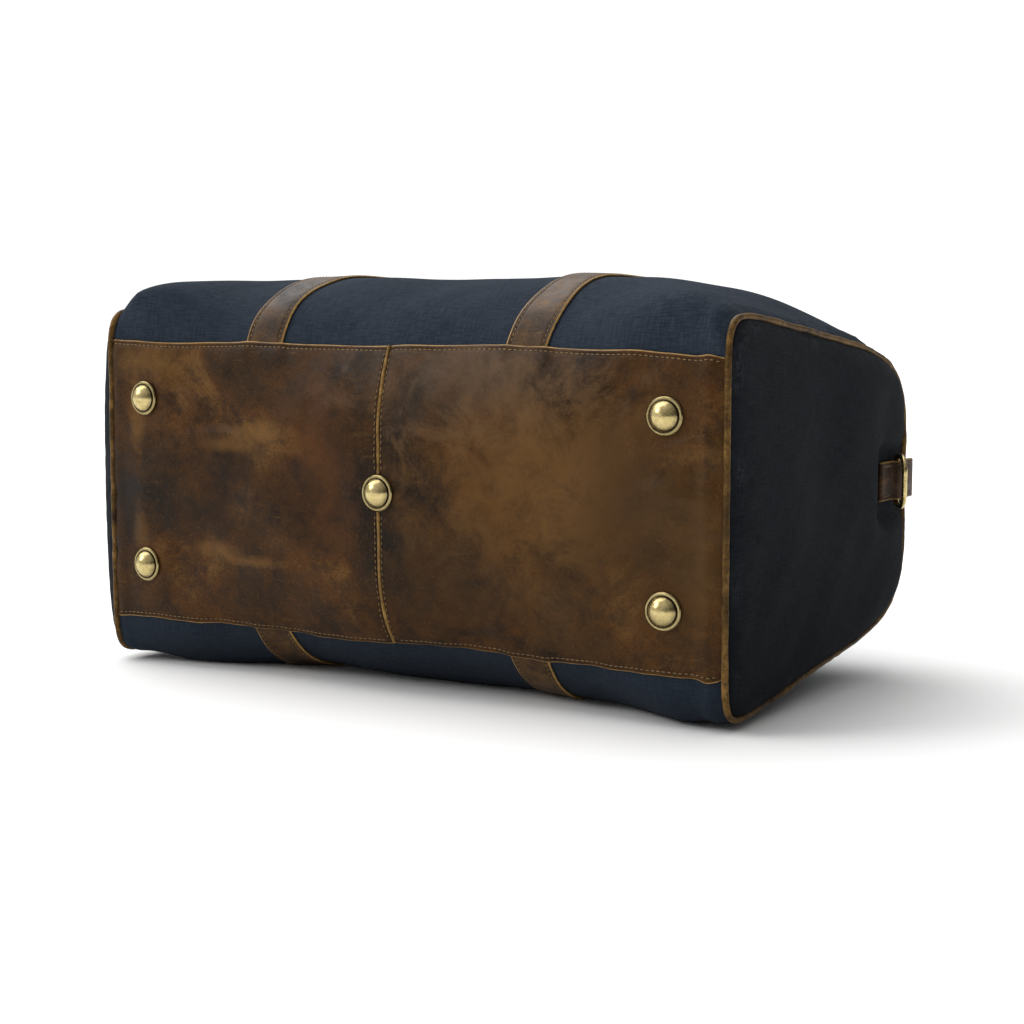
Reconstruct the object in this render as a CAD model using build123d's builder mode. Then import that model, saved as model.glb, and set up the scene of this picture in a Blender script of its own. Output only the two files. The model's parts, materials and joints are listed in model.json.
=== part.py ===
from build123d import *
from math import asin, cos, degrees, pi, radians, sin
import os

# Weekender bag of navy canvas with a leather base, straps, handles and piping, in millimetres.
# It lies on its back panel. +X runs along the bag, +Y from the base with its feet to the zip,
# and +Z from the floor up to the front panel. The origin is the middle of the flat patch of back
# panel that rests on the floor.

os.makedirs("parts", exist_ok=True)

# ---- Driving dimensions ----

BAG_LENGTH = 530.0          # over the piping of both end panels
PIPING_DIAMETER = 5.6
PIPING_STEP = 1.0           # the piping is a stack of flat rings, stepped to suggest its roundness
MID_Z = 141.0               # height of the plane that halves the bag between front and back
TOP_Y = 187.0               # crown of the zip side
BASE_Y = -121.0             # crown of the base at the ends
BASE_BULGE = 10.0           # how much further the base stands out at mid-length
FLOOR_SETTLE = 3.5          # how much lower the ends' middle lies than the bag's middle

END_DEPTH_BASE = 134.6      # half depth of an end, taken down to the base
END_DEPTH_TOP = 95.6        # half depth of an end, taken up to the top
FULL_DEPTH_BASE = 162.0     # the same two at mid-length, where the bag is stuffed out
FULL_DEPTH_TOP = 140.0
BACK_DEPTH_BASE = 151.0     # the same at the base of the back half, which the floor holds up
END_CORNERS = (12.0, 4.7)   # how square the corners are, at the base and at the top
FULL_CORNERS = (3.1, 2.4)

CANVAS_THICK = 3.5          # canvas with its padding
LINING_THICK = 1.0
LINING_GAP = 0.5            # the lining hangs this far inside the canvas
BOARD_GAP = 0.5             # and the base board lies this far inside the lining
LEATHER_THICK = 2.0
BOARD_THICK = 3.0
END_PANEL_THICK = 2.5

BASE_LEATHER_HALF = 104.5   # half width of the base leather
WELT_WIDTH = 3.0
WELT_STAND = 1.6            # how far the welt stands above the leather

STRAP_WIDTH = 32.0
STRAP_X = 111.0             # middle of each strap from mid-length
STRAP_END_Y = 121.0         # where a strap's loop holds its ring
STRAP_FOLD = 30.0           # length of the strap that is folded back over the ring
RING_WIRE = 4.0             # diameter of a ring's wire
RING_WIDTH = 42.0           # between the middles of a ring's two sides
RING_REACH = 24.0           # between the middles of a ring's two bars
RING_CORNER = 5.0
BAR_CLEARANCE = 0.08        # radial play of a bar in its leather loop
HINGE_LIFT = 4.2            # height of a ring's lower bar above the canvas

HANDLE_WIDTH = 33.0
HANDLE_TAB = 40.0           # flat end of a handle, between its ring and its rolled grip
HANDLE_STRAIGHT = 16.0      # straight stretch of the grip on each side
GRIP_DIAMETER = 15.0
RIVET_RADIUS = 1.6
RIVET_HOLE_RADIUS = 1.7
RIVET_HEAD_RADIUS = 4.5
RIVET_HEAD_THICK = 1.4
FRONT_DROOP = -28.0         # degrees below +Y at which the front handle hangs over the top
BACK_DROOP = -1.1           # degrees below +Y at which the back handle lies on the floor

FOOT_X = 220.0
FOOT_Z = 63.0
CENTRE_FOOT_RISE = 3.0      # the middle foot stands this much nearer the front than the middle
FOOT_LIFT = 0.35            # play between a foot's flat underside and the rounded leather
FOOT_RIM_RADIUS = 12.75
FOOT_RIM_HEIGHT = 1.9
FOOT_RIM_ROUND = 0.7        # the rim's outer edge is cut back by this much
FOOT_DOME_RADIUS = 10.0
FOOT_DOME_START = 2.5       # height at which the dome begins
FOOT_HEIGHT = 8.0
FOOT_GROOVE_WIDTH = 0.7
FOOT_GROOVE_FLOOR = 0.9
FOOT_POST_RADIUS = 2.5
FOOT_POST_LENGTH = 12.0
FOOT_HOLE_RADIUS = 2.6
WASHER_RADIUS = 8.0
WASHER_THICK = 1.2
BOARD_HALF_X = 240.0
BOARD_HALF_Z = 92.0
BASE_END_Y = -60.0          # the base side lies below this, and the zip side above minus this

MOUTH_HALF_X = 228.0        # half length of the mouth that the two gussets close
MOUTH_HALF_Z = 48.0
MOUTH_GAP = 0.4             # play around a gusset
ZIP_SLOT_HALF_X = 246.0
ZIP_SLOT_HALF_Z = 15.0
CHAIN_Y = 181.8             # middle plane of the zip's chain
CHAIN_GAP = 0.8             # each side's teeth start this far from the middle
CHAIN_EDGE = 3.6            # and end this far from it
CHAIN_HALF_THICK = 1.3
TAPE_HALF_THICK = 0.4
TAPE_EDGE = 20.0
SLIDER_X = 237.0            # where the slider is parked, with the zip shut
SLIDER_LENGTH = 16.0
PLATE_GAP = 0.3             # play between the slider and the chain
PLATE_THICK = 1.5
PLATE_HALF_Z = 5.5
NECK_HALF_Z = 0.45
LUG_HALF_X = 2.5
LUG_HALF_Z = 1.6
PULL_AXLE_RADIUS = 1.2
STOP_LENGTH = 2.0           # solid stretch that ends the chain
TAPE_LIP = 4.0              # how far the tape's edge reaches up to the canvas
END_TAPE_REACH = 8.0        # how far the tape runs on past its slot
ZIP_TAB_HALF_Z = 16.0
PULL_Y = 191.5              # axis of the zip pull, which stands straight out from the slider
PULL_LENGTH = 24.0
PULL_HALF_WIDTH = 4.0
PULLER_LENGTH = 44.0
PULLER_WIDTH = 12.0
PULLER_THICK = 2.4

DEE_TAB_Z = 143.0           # middle of the tab on each end panel
DEE_TAB_WIDTH = 29.0
DEE_TAB_START_Y = 137.0
DEE_TAB_LIFT_Y = 183.0      # from here on the tab lies over the piping
DEE_TAB_END_Y = 193.0
DEE_TAB_THICK = 3.0
DEE_BEND_HALF = 5.5         # half length of the tab's bend over the ring
DEE_AXIS_Y = 163.0
DEE_AXIS_STAND = 4.3        # height of the ring's bar above the end panel
DEE_WIRE = 4.2
DEE_WIDTH = 37.0
DEE_REACH = 24.0
DEE_CORNERS = (4.0, 11.0)   # bends at the bar in the tab, and at the far bar
DEE_REST = -55.0            # degrees that the ring hangs from straight out towards the base

SECTION_POINTS = 32
SEAM_ANGLE = 1.7            # where a section's outline starts, in radians from +Y
FAR = 800.0                 # edge of a block that reaches past the whole bag

# ---- Derived dimensions ----

BODY_HALF = BAG_LENGTH / 2 - PIPING_DIAMETER
PANEL_FACE_X = BODY_HALF + END_PANEL_THICK
DEE_AXIS_X = PANEL_FACE_X + DEE_AXIS_STAND
STATIONS = (-1.0, -0.9, -0.6, 0.0, 0.6, 0.9, 1.0)


def mix(low, high, share):
    return low + (high - low) * share


class Section:
    """The bag's outline across its length at x: a tapered arch with rounded corners."""

    def __init__(self, x, grow=0.0):
        swell = 1 - abs(x / BODY_HALF) ** 5
        base = BASE_Y - BASE_BULGE * (1 - (x / BODY_HALF) ** 2)
        self.grow = grow
        self.mid_y = (TOP_Y + base) / 2
        self.half_height = (TOP_Y - base) / 2
        self.mid_z = MID_Z - mix(FLOOR_SETTLE, 0.0, swell)
        self.front_base = mix(END_DEPTH_BASE, FULL_DEPTH_BASE, swell)
        self.back_base = mix(END_DEPTH_BASE, BACK_DEPTH_BASE, swell)
        self.depth_top = mix(END_DEPTH_TOP, FULL_DEPTH_TOP, swell)
        self.base_corner = mix(END_CORNERS[0], FULL_CORNERS[0], swell)
        self.top_corner = mix(END_CORNERS[1], FULL_CORNERS[1], swell)

    def points(self):
        """Points all round the outline, which starts and ends on the crest, clear of every cut."""
        return [self.at(SEAM_ANGLE + 2 * pi * i / SECTION_POINTS) for i in range(SECTION_POINTS)]

    def at(self, angle):
        """The point (y, z) of the outline in the direction angle, counted from +Y towards +Z."""
        along, across = cos(angle), sin(angle)
        corner = self.top_corner if along > 0 else self.base_corner
        reach = (abs(along) ** corner + abs(across) ** corner) ** (-1 / corner)
        taper = (1 + reach * along) / 2
        depth_base = self.front_base if across > 0 else self.back_base
        depth = mix(depth_base, self.depth_top, taper)
        y = self.mid_y + (self.half_height + self.grow) * reach * along
        z = self.mid_z + (depth + self.grow) * reach * across
        return y, z

    def base_y(self, z):
        """Y of the outline's base side at height z, found by halving the angle."""
        low, high = pi / 2, 3 * pi / 2
        for _ in range(50):
            middle = (low + high) / 2
            if self.at(middle)[1] > z:
                low = middle
            else:
                high = middle
        return self.at(low)[0]

    def side_at(self, y, sign):
        """Z of the outline's front (sign 1) or back (sign -1) at y, found by halving the angle."""
        low, high = 0.0, pi / 2
        for _ in range(50):
            middle = (low + high) / 2
            if self.at(sign * middle)[0] > y:
                low = middle
            else:
                high = middle
        return self.at(sign * low)[1]


def save(builder, name):
    """Label a finished piece and write its file."""
    builder.part.label = name
    export_step(builder.part, f"parts/{name}.step")


def stuffed_form(grow, half_length, floor):
    """The stuffed bag grown outward by grow, as long as stated, and cut flat at the height floor."""
    with BuildPart() as body_form:
        for share in STATIONS:
            x = share * half_length
            with BuildSketch(Plane.YZ.offset(x)):
                with BuildLine():
                    Spline(Section(x, grow).points(), periodic=True)
                make_face()
        loft()
        with Locations((0, 0, floor)):
            Box(FAR, FAR, FAR, align=(Align.CENTER, Align.CENTER, Align.MIN), mode=Mode.INTERSECT)
    return body_form.part


def keep_box(x_range, y_range, z_range, mode=Mode.INTERSECT):
    """A block between the stated ends, which the part around it keeps or loses."""
    ends = (x_range, y_range, z_range)
    middle = [(low + high) / 2 for low, high in ends]
    size = [high - low for low, high in ends]
    with Locations(tuple(middle)):
        Box(*size, mode=mode)


outer_form = stuffed_form(0.0, BODY_HALF, 0.0)
inner_form = stuffed_form(-CANVAS_THICK, BODY_HALF + 1.0, CANVAS_THICK)
lining_back = CANVAS_THICK + LINING_GAP
lining_face = lining_back + LINING_THICK
board_back = lining_face + BOARD_GAP
board_face = board_back + BOARD_THICK
lining_form = stuffed_form(-lining_back, BODY_HALF - LINING_GAP, lining_back)
cavity_form = stuffed_form(-lining_face, BODY_HALF - LINING_GAP - LINING_THICK, lining_face)
board_bed_form = stuffed_form(-board_back, BODY_HALF, board_back)
board_form = stuffed_form(-board_face, BODY_HALF, board_face)
leather_form = stuffed_form(LEATHER_THICK, BODY_HALF, 0.0)
double_form = stuffed_form(2 * LEATHER_THICK, BODY_HALF, 0.0)
welt_form = stuffed_form(LEATHER_THICK + WELT_STAND, BODY_HALF, 0.0)
strap_bed_form = stuffed_form(0.0, BODY_HALF, LEATHER_THICK)

# ---- Where the feet stand ----


def foot_plane(x, z):
    """A plane on the base leather at (x, z), with its Z axis square to the leather, pointing out."""
    step = 4.0
    here = Section(x, LEATHER_THICK)
    ahead, behind = Section(x + step, LEATHER_THICK), Section(x - step, LEATHER_THICK)
    slope_x = (ahead.base_y(z) - behind.base_y(z)) / (2 * step)
    slope_z = (here.base_y(z + step) - here.base_y(z - step)) / (2 * step)
    surface = Plane(origin=(x, here.base_y(z), z), x_dir=(1, slope_x, 0), z_dir=(slope_x, -1, slope_z))
    return surface.offset(FOOT_LIFT)


foot_planes = [foot_plane(0, MID_Z + CENTRE_FOOT_RISE)]
for foot_side in (-1, 1):
    for foot_level in (-1, 1):
        foot_planes.append(foot_plane(foot_side * FOOT_X, MID_Z + foot_level * FOOT_Z))


def foot_holes(radius, depth):
    """A hole through the part around it for each foot's post."""
    with Locations(*[Location(plane) for plane in foot_planes]):
        Cylinder(radius, depth, mode=Mode.SUBTRACT)


# ---- Hinge lines of the rings and handles ----


def strap_hinge(sign):
    """(y, z) of the axis of the rings on the front (sign 1) or the back (sign -1)."""
    section = Section(STRAP_X)
    z = section.side_at(STRAP_END_Y, sign)
    before, after = section.side_at(STRAP_END_Y - 1, sign), section.side_at(STRAP_END_Y + 1, sign)
    run = sign * (before - after)
    length = (run ** 2 + 4) ** 0.5
    y = STRAP_END_Y + HINGE_LIFT * run / length
    return y, z + sign * HINGE_LIFT * 2 / length


def hanging_plane(sign, x, droop, reach):
    """A plane in a ring or handle, with X along the bag and Y the way that it hangs."""
    y, z = strap_hinge(sign)
    along, up = cos(radians(droop)), sin(radians(droop))
    origin = (x, y + reach * along, z + reach * up)
    return Plane(origin=origin, x_dir=(1, 0, 0), z_dir=(0, -up, along))


with BuildPart() as canvas_shell:
    add(outer_form)
    add(inner_form, mode=Mode.SUBTRACT)

# ---- Straps, canvas panels, lining and base board ----

SIDES = (("front", 1, FRONT_DROOP), ("back", -1, BACK_DROOP))
HANDS = (("left", -1), ("right", 1))

straps = {}
for side, sign, _ in SIDES:
    hinge_y, hinge_z = strap_hinge(sign)
    for hand, turn in HANDS:
        x = turn * STRAP_X
        edge_z = MID_Z + sign * BASE_LEATHER_HALF
        far_z = MID_Z + sign * FAR
        z_range = (min(edge_z, far_z), max(edge_z, far_z))
        x_range = (x - STRAP_WIDTH / 2, x + STRAP_WIDTH / 2)
        with BuildPart() as folded_end:
            add(double_form)
            keep_box(x_range, (STRAP_END_Y - STRAP_FOLD, hinge_y), z_range)
        with BuildPart() as strap:
            add(leather_form)
            keep_box(x_range, (-FAR, hinge_y), z_range)
            add(folded_end.part)
            with Locations(Location((x, hinge_y, hinge_z), (0, 90, 0))):
                Cylinder(RING_WIRE / 2 + LEATHER_THICK + BAR_CLEARANCE, STRAP_WIDTH)
            add(strap_bed_form, mode=Mode.SUBTRACT)
            with Locations(Location((x, hinge_y, hinge_z), (0, 90, 0))):
                Cylinder(RING_WIRE / 2 + BAR_CLEARANCE, STRAP_WIDTH + 1, mode=Mode.SUBTRACT)
        straps[side, hand] = strap.part
        save(strap, f"strap_{side}_{hand}")

for side, sign, _ in SIDES:
    far_z = MID_Z + sign * FAR
    with BuildPart() as panel:
        add(canvas_shell.part)
        keep_box((-FAR, FAR), (-FAR, FAR), (min(MID_Z, far_z), max(MID_Z, far_z)))
        mouth_z = (MID_Z - MOUTH_HALF_Z, MID_Z + MOUTH_HALF_Z)
        keep_box((-MOUTH_HALF_X, MOUTH_HALF_X), (0, FAR), mouth_z, Mode.SUBTRACT)
        slot_z = (MID_Z - ZIP_SLOT_HALF_Z, MID_Z + ZIP_SLOT_HALF_Z)
        keep_box((-ZIP_SLOT_HALF_X, ZIP_SLOT_HALF_X), (0, FAR), slot_z, Mode.SUBTRACT)
        if side == "back":
            add(straps["back", "left"], mode=Mode.SUBTRACT)
            add(straps["back", "right"], mode=Mode.SUBTRACT)
        foot_holes(FOOT_HOLE_RADIUS, 4 * CANVAS_THICK)
    save(panel, f"{side}_panel")

with BuildPart() as lining:
    add(lining_form)
    add(cavity_form, mode=Mode.SUBTRACT)
    mouth_z = (MID_Z - MOUTH_HALF_Z - 1, MID_Z + MOUTH_HALF_Z + 1)
    lining_mouth_x = ZIP_SLOT_HALF_X + END_TAPE_REACH + 1
    keep_box((-lining_mouth_x, lining_mouth_x), (0, FAR), mouth_z, Mode.SUBTRACT)
    foot_holes(FOOT_HOLE_RADIUS, 5 * CANVAS_THICK)
save(lining, "lining")

with BuildPart() as base_board:
    add(board_bed_form)
    add(board_form, mode=Mode.SUBTRACT)
    keep_box((-BOARD_HALF_X, BOARD_HALF_X), (-FAR, 0), (MID_Z - BOARD_HALF_Z, MID_Z + BOARD_HALF_Z))
    foot_holes(FOOT_HOLE_RADIUS, 8 * CANVAS_THICK)
save(base_board, "base_board")

# ---- Leather base in two halves, with a raised welt over their seam ----

base_z = (MID_Z - BASE_LEATHER_HALF, MID_Z + BASE_LEATHER_HALF)
for hand, turn in HANDS:
    inner_x, outer_x = turn * WELT_WIDTH / 2, turn * FAR
    with BuildPart() as base_leather:
        add(leather_form)
        add(outer_form, mode=Mode.SUBTRACT)
        keep_box((min(inner_x, outer_x), max(inner_x, outer_x)), (-FAR, BASE_END_Y), base_z)
        foot_holes(FOOT_HOLE_RADIUS, 4 * LEATHER_THICK)
    save(base_leather, f"base_leather_{hand}")

with BuildPart() as base_seam_welt:
    add(welt_form)
    add(outer_form, mode=Mode.SUBTRACT)
    keep_box((-WELT_WIDTH / 2, WELT_WIDTH / 2), (-FAR, BASE_END_Y), base_z)
    with Locations(Location(foot_planes[0])):
        Cylinder(FOOT_RIM_RADIUS + 0.3, 6 * LEATHER_THICK, mode=Mode.SUBTRACT)
save(base_seam_welt, "base_seam_welt")

# ---- Feet: a domed stud with a rim, on a post through leather, canvas, lining and board ----

groove_edge = FOOT_DOME_RADIUS + FOOT_GROOVE_WIDTH
dome_rise = FOOT_HEIGHT - FOOT_DOME_START
dome_ball = (FOOT_DOME_RADIUS ** 2 + dome_rise ** 2) / (2 * dome_rise)
half_turn = asin(FOOT_DOME_RADIUS / dome_ball) / 2
dome_middle = (dome_ball * sin(half_turn), FOOT_HEIGHT - dome_ball * (1 - cos(half_turn)))
with BuildPart() as stud:
    with BuildSketch(Plane.XZ):
        with BuildLine():
            Polyline(
                (0, 0),
                (FOOT_RIM_RADIUS, 0),
                (FOOT_RIM_RADIUS, FOOT_RIM_HEIGHT - FOOT_RIM_ROUND),
                (FOOT_RIM_RADIUS - FOOT_RIM_ROUND, FOOT_RIM_HEIGHT),
                (groove_edge, FOOT_RIM_HEIGHT),
                (groove_edge, FOOT_GROOVE_FLOOR),
                (FOOT_DOME_RADIUS, FOOT_GROOVE_FLOOR),
                (FOOT_DOME_RADIUS, FOOT_DOME_START),
            )
            ThreePointArc((FOOT_DOME_RADIUS, FOOT_DOME_START), dome_middle, (0, FOOT_HEIGHT))
            Line((0, FOOT_HEIGHT), (0, 0))
        make_face()
    revolve(axis=Axis.Z)
    with Locations((0, 0, 0.5)):
        post_align = (Align.CENTER, Align.CENTER, Align.MAX)
        Cylinder(FOOT_POST_RADIUS, FOOT_POST_LENGTH + 0.5, align=post_align)

for number, plane in enumerate(foot_planes, start=1):
    with BuildPart() as foot:
        with Locations(Location(plane)):
            add(stud.part)
    save(foot, f"foot_{number}")

with BuildPart() as foot_washers:
    with Locations(*[Location(plane.offset(-FOOT_POST_LENGTH)) for plane in foot_planes]):
        Cylinder(WASHER_RADIUS, WASHER_THICK)
        Cylinder(FOOT_HOLE_RADIUS, 2.0, mode=Mode.SUBTRACT)
save(foot_washers, "foot_washers")

# ---- End panels and the piping around them ----


def end_outline(x, grow):
    """The bag's outline at its ends, grown by grow, as a face at x."""
    with BuildSketch(Plane.YZ.offset(x)) as outline:
        with BuildLine():
            Spline(Section(BODY_HALF, grow).points(), periodic=True)
        make_face()
    return outline.sketch


def ring_layer(x, half_radial, depth):
    """A flat ring that follows the ends' outline, half_radial to each side of it."""
    with BuildPart() as layer:
        extrude(end_outline(x, half_radial), amount=depth)
        extrude(end_outline(x, -half_radial), amount=depth, mode=Mode.SUBTRACT)
    return layer.part


half_piping = PIPING_DIAMETER / 2
for hand, turn in HANDS:
    core_x = turn * (BODY_HALF + 1.5 * PIPING_STEP)
    core = ring_layer(core_x, half_piping, turn * (PIPING_DIAMETER - 3 * PIPING_STEP))
    flanks = ring_layer(turn * BODY_HALF, half_piping - PIPING_STEP, turn * PIPING_DIAMETER)
    with BuildPart() as piping:
        add(core)
        add(flanks)
    save(piping, f"piping_{hand}")
    with BuildPart() as end_panel:
        extrude(end_outline(turn * BODY_HALF, -half_piping), amount=turn * END_PANEL_THICK)
    save(end_panel, f"end_panel_{hand}")

# ---- Top gussets and the zip ----

for side, sign, _ in SIDES:
    slot_z, hinge_z = MID_Z + sign * ZIP_SLOT_HALF_Z, MID_Z + sign * (MOUTH_HALF_Z - MOUTH_GAP)
    gusset_x = MOUTH_HALF_X - MOUTH_GAP
    with BuildPart() as gusset:
        add(canvas_shell.part)
        z_range = (min(slot_z, hinge_z), max(slot_z, hinge_z))
        keep_box((-gusset_x, gusset_x), (0, FAR), z_range)
    save(gusset, f"top_gusset_{side}")
    near_z, far_z = MID_Z + sign * CHAIN_EDGE, MID_Z + sign * TAPE_EDGE
    lip_z = MID_Z + sign * (ZIP_SLOT_HALF_Z + 0.2)
    with BuildPart() as tape:
        z_range = (min(near_z, far_z), max(near_z, far_z))
        y_range = (CHAIN_Y - TAPE_HALF_THICK, CHAIN_Y + TAPE_HALF_THICK)
        keep_box((-gusset_x, gusset_x), y_range, z_range, Mode.ADD)
        z_range = (min(lip_z, far_z), max(lip_z, far_z))
        y_range = (CHAIN_Y - TAPE_HALF_THICK, CHAIN_Y + TAPE_LIP)
        keep_box((-gusset_x, gusset_x), y_range, z_range, Mode.ADD)
        add(inner_form, mode=Mode.INTERSECT)
    save(tape, f"zip_tape_{side}")
    inner_z, outer_z = MID_Z + sign * CHAIN_GAP, MID_Z + sign * CHAIN_EDGE
    with BuildPart() as chain:
        z_range = (min(inner_z, outer_z), max(inner_z, outer_z))
        y_range = (CHAIN_Y - CHAIN_HALF_THICK, CHAIN_Y + CHAIN_HALF_THICK)
        keep_box((-gusset_x, gusset_x), y_range, z_range, Mode.ADD)
    save(chain, f"zip_chain_{side}")

for hand, turn in HANDS:
    start_x = turn * (MOUTH_HALF_X + MOUTH_GAP)
    stop_x, end_x = turn * ZIP_SLOT_HALF_X, turn * (ZIP_SLOT_HALF_X + END_TAPE_REACH)
    with BuildPart() as chain_end:
        x_range = (min(start_x, stop_x), max(start_x, stop_x))
        y_range = (CHAIN_Y - CHAIN_HALF_THICK, CHAIN_Y + CHAIN_HALF_THICK)
        keep_box(x_range, y_range, (MID_Z - CHAIN_EDGE, MID_Z + CHAIN_EDGE), Mode.ADD)
        rail_end = stop_x - turn * STOP_LENGTH
        x_range = (min(start_x, rail_end), max(start_x, rail_end))
        keep_box(x_range, y_range, (MID_Z - CHAIN_GAP, MID_Z + CHAIN_GAP), Mode.SUBTRACT)
    save(chain_end, f"zip_chain_end_{hand}")
    with BuildPart() as tape_end:
        x_range = (min(start_x, end_x), max(start_x, end_x))
        for sign in (-1, 1):
            lip_z, far_z = MID_Z + sign * (ZIP_SLOT_HALF_Z + 0.2), MID_Z + sign * TAPE_EDGE
            y_range = (CHAIN_Y - TAPE_HALF_THICK, CHAIN_Y + TAPE_LIP)
            keep_box(x_range, y_range, (min(lip_z, far_z), max(lip_z, far_z)), Mode.ADD)
        y_range = (CHAIN_Y - TAPE_HALF_THICK, CHAIN_Y + TAPE_HALF_THICK)
        keep_box(x_range, y_range, (MID_Z - TAPE_EDGE, MID_Z + TAPE_EDGE), Mode.ADD)
        x_range = (min(start_x, stop_x), max(start_x, stop_x))
        keep_box(x_range, (0, FAR), (MID_Z - CHAIN_EDGE, MID_Z + CHAIN_EDGE), Mode.SUBTRACT)
        add(inner_form, mode=Mode.INTERSECT)
    save(tape_end, f"zip_tape_end_{hand}")
    tab_start, tab_end = turn * (ZIP_SLOT_HALF_X + 0.3), turn * BODY_HALF
    with BuildPart() as zip_end_tab:
        add(leather_form)
        add(outer_form, mode=Mode.SUBTRACT)
        x_range = (min(tab_start, tab_end), max(tab_start, tab_end))
        keep_box(x_range, (-BASE_END_Y, FAR), (MID_Z - ZIP_TAB_HALF_Z, MID_Z + ZIP_TAB_HALF_Z))
    save(zip_end_tab, f"zip_end_tab_{hand}")

plate_y = CHAIN_HALF_THICK + PLATE_GAP
slider_x_range = (SLIDER_X - SLIDER_LENGTH / 2, SLIDER_X + SLIDER_LENGTH / 2)
with BuildPart() as zip_slider:
    for sign in (-1, 1):
        near_y, far_y = CHAIN_Y + sign * plate_y, CHAIN_Y + sign * (plate_y + PLATE_THICK)
        y_range = (min(near_y, far_y), max(near_y, far_y))
        keep_box(slider_x_range, y_range, (MID_Z - PLATE_HALF_Z, MID_Z + PLATE_HALF_Z), Mode.ADD)
        fillet(zip_slider.edges().filter_by(Axis.Y), 2.0)
    for sign in (-1, 1):
        near_y, far_y = CHAIN_Y + sign * (TAPE_HALF_THICK + 0.5), CHAIN_Y + sign * (plate_y + 0.2)
        y_range = (min(near_y, far_y), max(near_y, far_y))
        for turn in (-1, 1):
            near_z, far_z = MID_Z + turn * (CHAIN_EDGE + 0.5), MID_Z + turn * PLATE_HALF_Z
            z_range = (min(near_z, far_z), max(near_z, far_z))
            flange_x = (slider_x_range[0] + 2.5, slider_x_range[1] - 2.5)
            keep_box(flange_x, y_range, z_range, Mode.ADD)
    neck_x = (slider_x_range[1] - 5.0, slider_x_range[1] - 1.5)
    neck_y = (CHAIN_Y - plate_y - 0.2, CHAIN_Y + plate_y + 0.2)
    keep_box(neck_x, neck_y, (MID_Z - NECK_HALF_Z, MID_Z + NECK_HALF_Z), Mode.ADD)
    lug_y = (CHAIN_Y + plate_y + PLATE_THICK - 0.2, PULL_Y)
    lug_x = (SLIDER_X - LUG_HALF_X, SLIDER_X + LUG_HALF_X)
    keep_box(lug_x, lug_y, (MID_Z - LUG_HALF_Z, MID_Z + LUG_HALF_Z), Mode.ADD)
    with Locations((SLIDER_X, PULL_Y, MID_Z)):
        Cylinder(LUG_HALF_X, 2 * LUG_HALF_Z)
        Cylinder(PULL_AXLE_RADIUS + BAR_CLEARANCE, 4 * LUG_HALF_Z, mode=Mode.SUBTRACT)
save(zip_slider, "zip_slider")

with BuildPart() as zip_pull:
    pull_end = PULL_Y + PULL_LENGTH
    pull_z = (MID_Z - PULL_HALF_WIDTH, MID_Z + PULL_HALF_WIDTH)
    keep_box((SLIDER_X - 1, SLIDER_X + 1), (PULL_Y, pull_end), pull_z, Mode.ADD)
    with Locations((SLIDER_X, PULL_Y, MID_Z)):
        Cylinder(PULL_AXLE_RADIUS + 1, 2 * PULL_HALF_WIDTH)
    fork_x, fork_y = (SLIDER_X - 5, SLIDER_X + 5), (PULL_Y - 5, PULL_Y + 5)
    fork_z = (MID_Z - LUG_HALF_Z - 0.3, MID_Z + LUG_HALF_Z + 0.3)
    keep_box(fork_x, fork_y, fork_z, Mode.SUBTRACT)
    with Locations((SLIDER_X, PULL_Y, MID_Z)):
        Cylinder(PULL_AXLE_RADIUS, 2 * PULL_HALF_WIDTH)
save(zip_pull, "zip_pull")

with BuildPart() as zip_puller_leather:
    with BuildSketch(Plane.YZ.offset(SLIDER_X - PULLER_THICK / 2)):
        with Locations((pull_end + PULLER_LENGTH / 2, MID_Z)):
            RectangleRounded(PULLER_LENGTH, PULLER_WIDTH, PULLER_WIDTH / 3)
    extrude(amount=PULLER_THICK)
save(zip_puller_leather, "zip_puller_leather")

# ---- Rings and handles ----


def wire_ring(plane, width, reach, wire, near_corner, far_corner):
    """A bent wire ring on the plane: its near bar lies on the plane's X axis, its far bar at reach."""
    half = width / 2
    with BuildPart() as ring:
        with BuildLine(plane) as route:
            Line((0, 0), (half - near_corner, 0))
            RadiusArc((half - near_corner, 0), (half, near_corner), -near_corner)
            Line((half, near_corner), (half, reach - far_corner))
            RadiusArc((half, reach - far_corner), (half - far_corner, reach), -far_corner)
            Line((half - far_corner, reach), (0, reach))
        with BuildSketch(Plane(origin=route.line @ 0, z_dir=route.line % 0)):
            Circle(wire / 2)
        sweep()
        mirror(about=Plane(origin=plane.origin, z_dir=plane.x_dir))
    return ring


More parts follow.
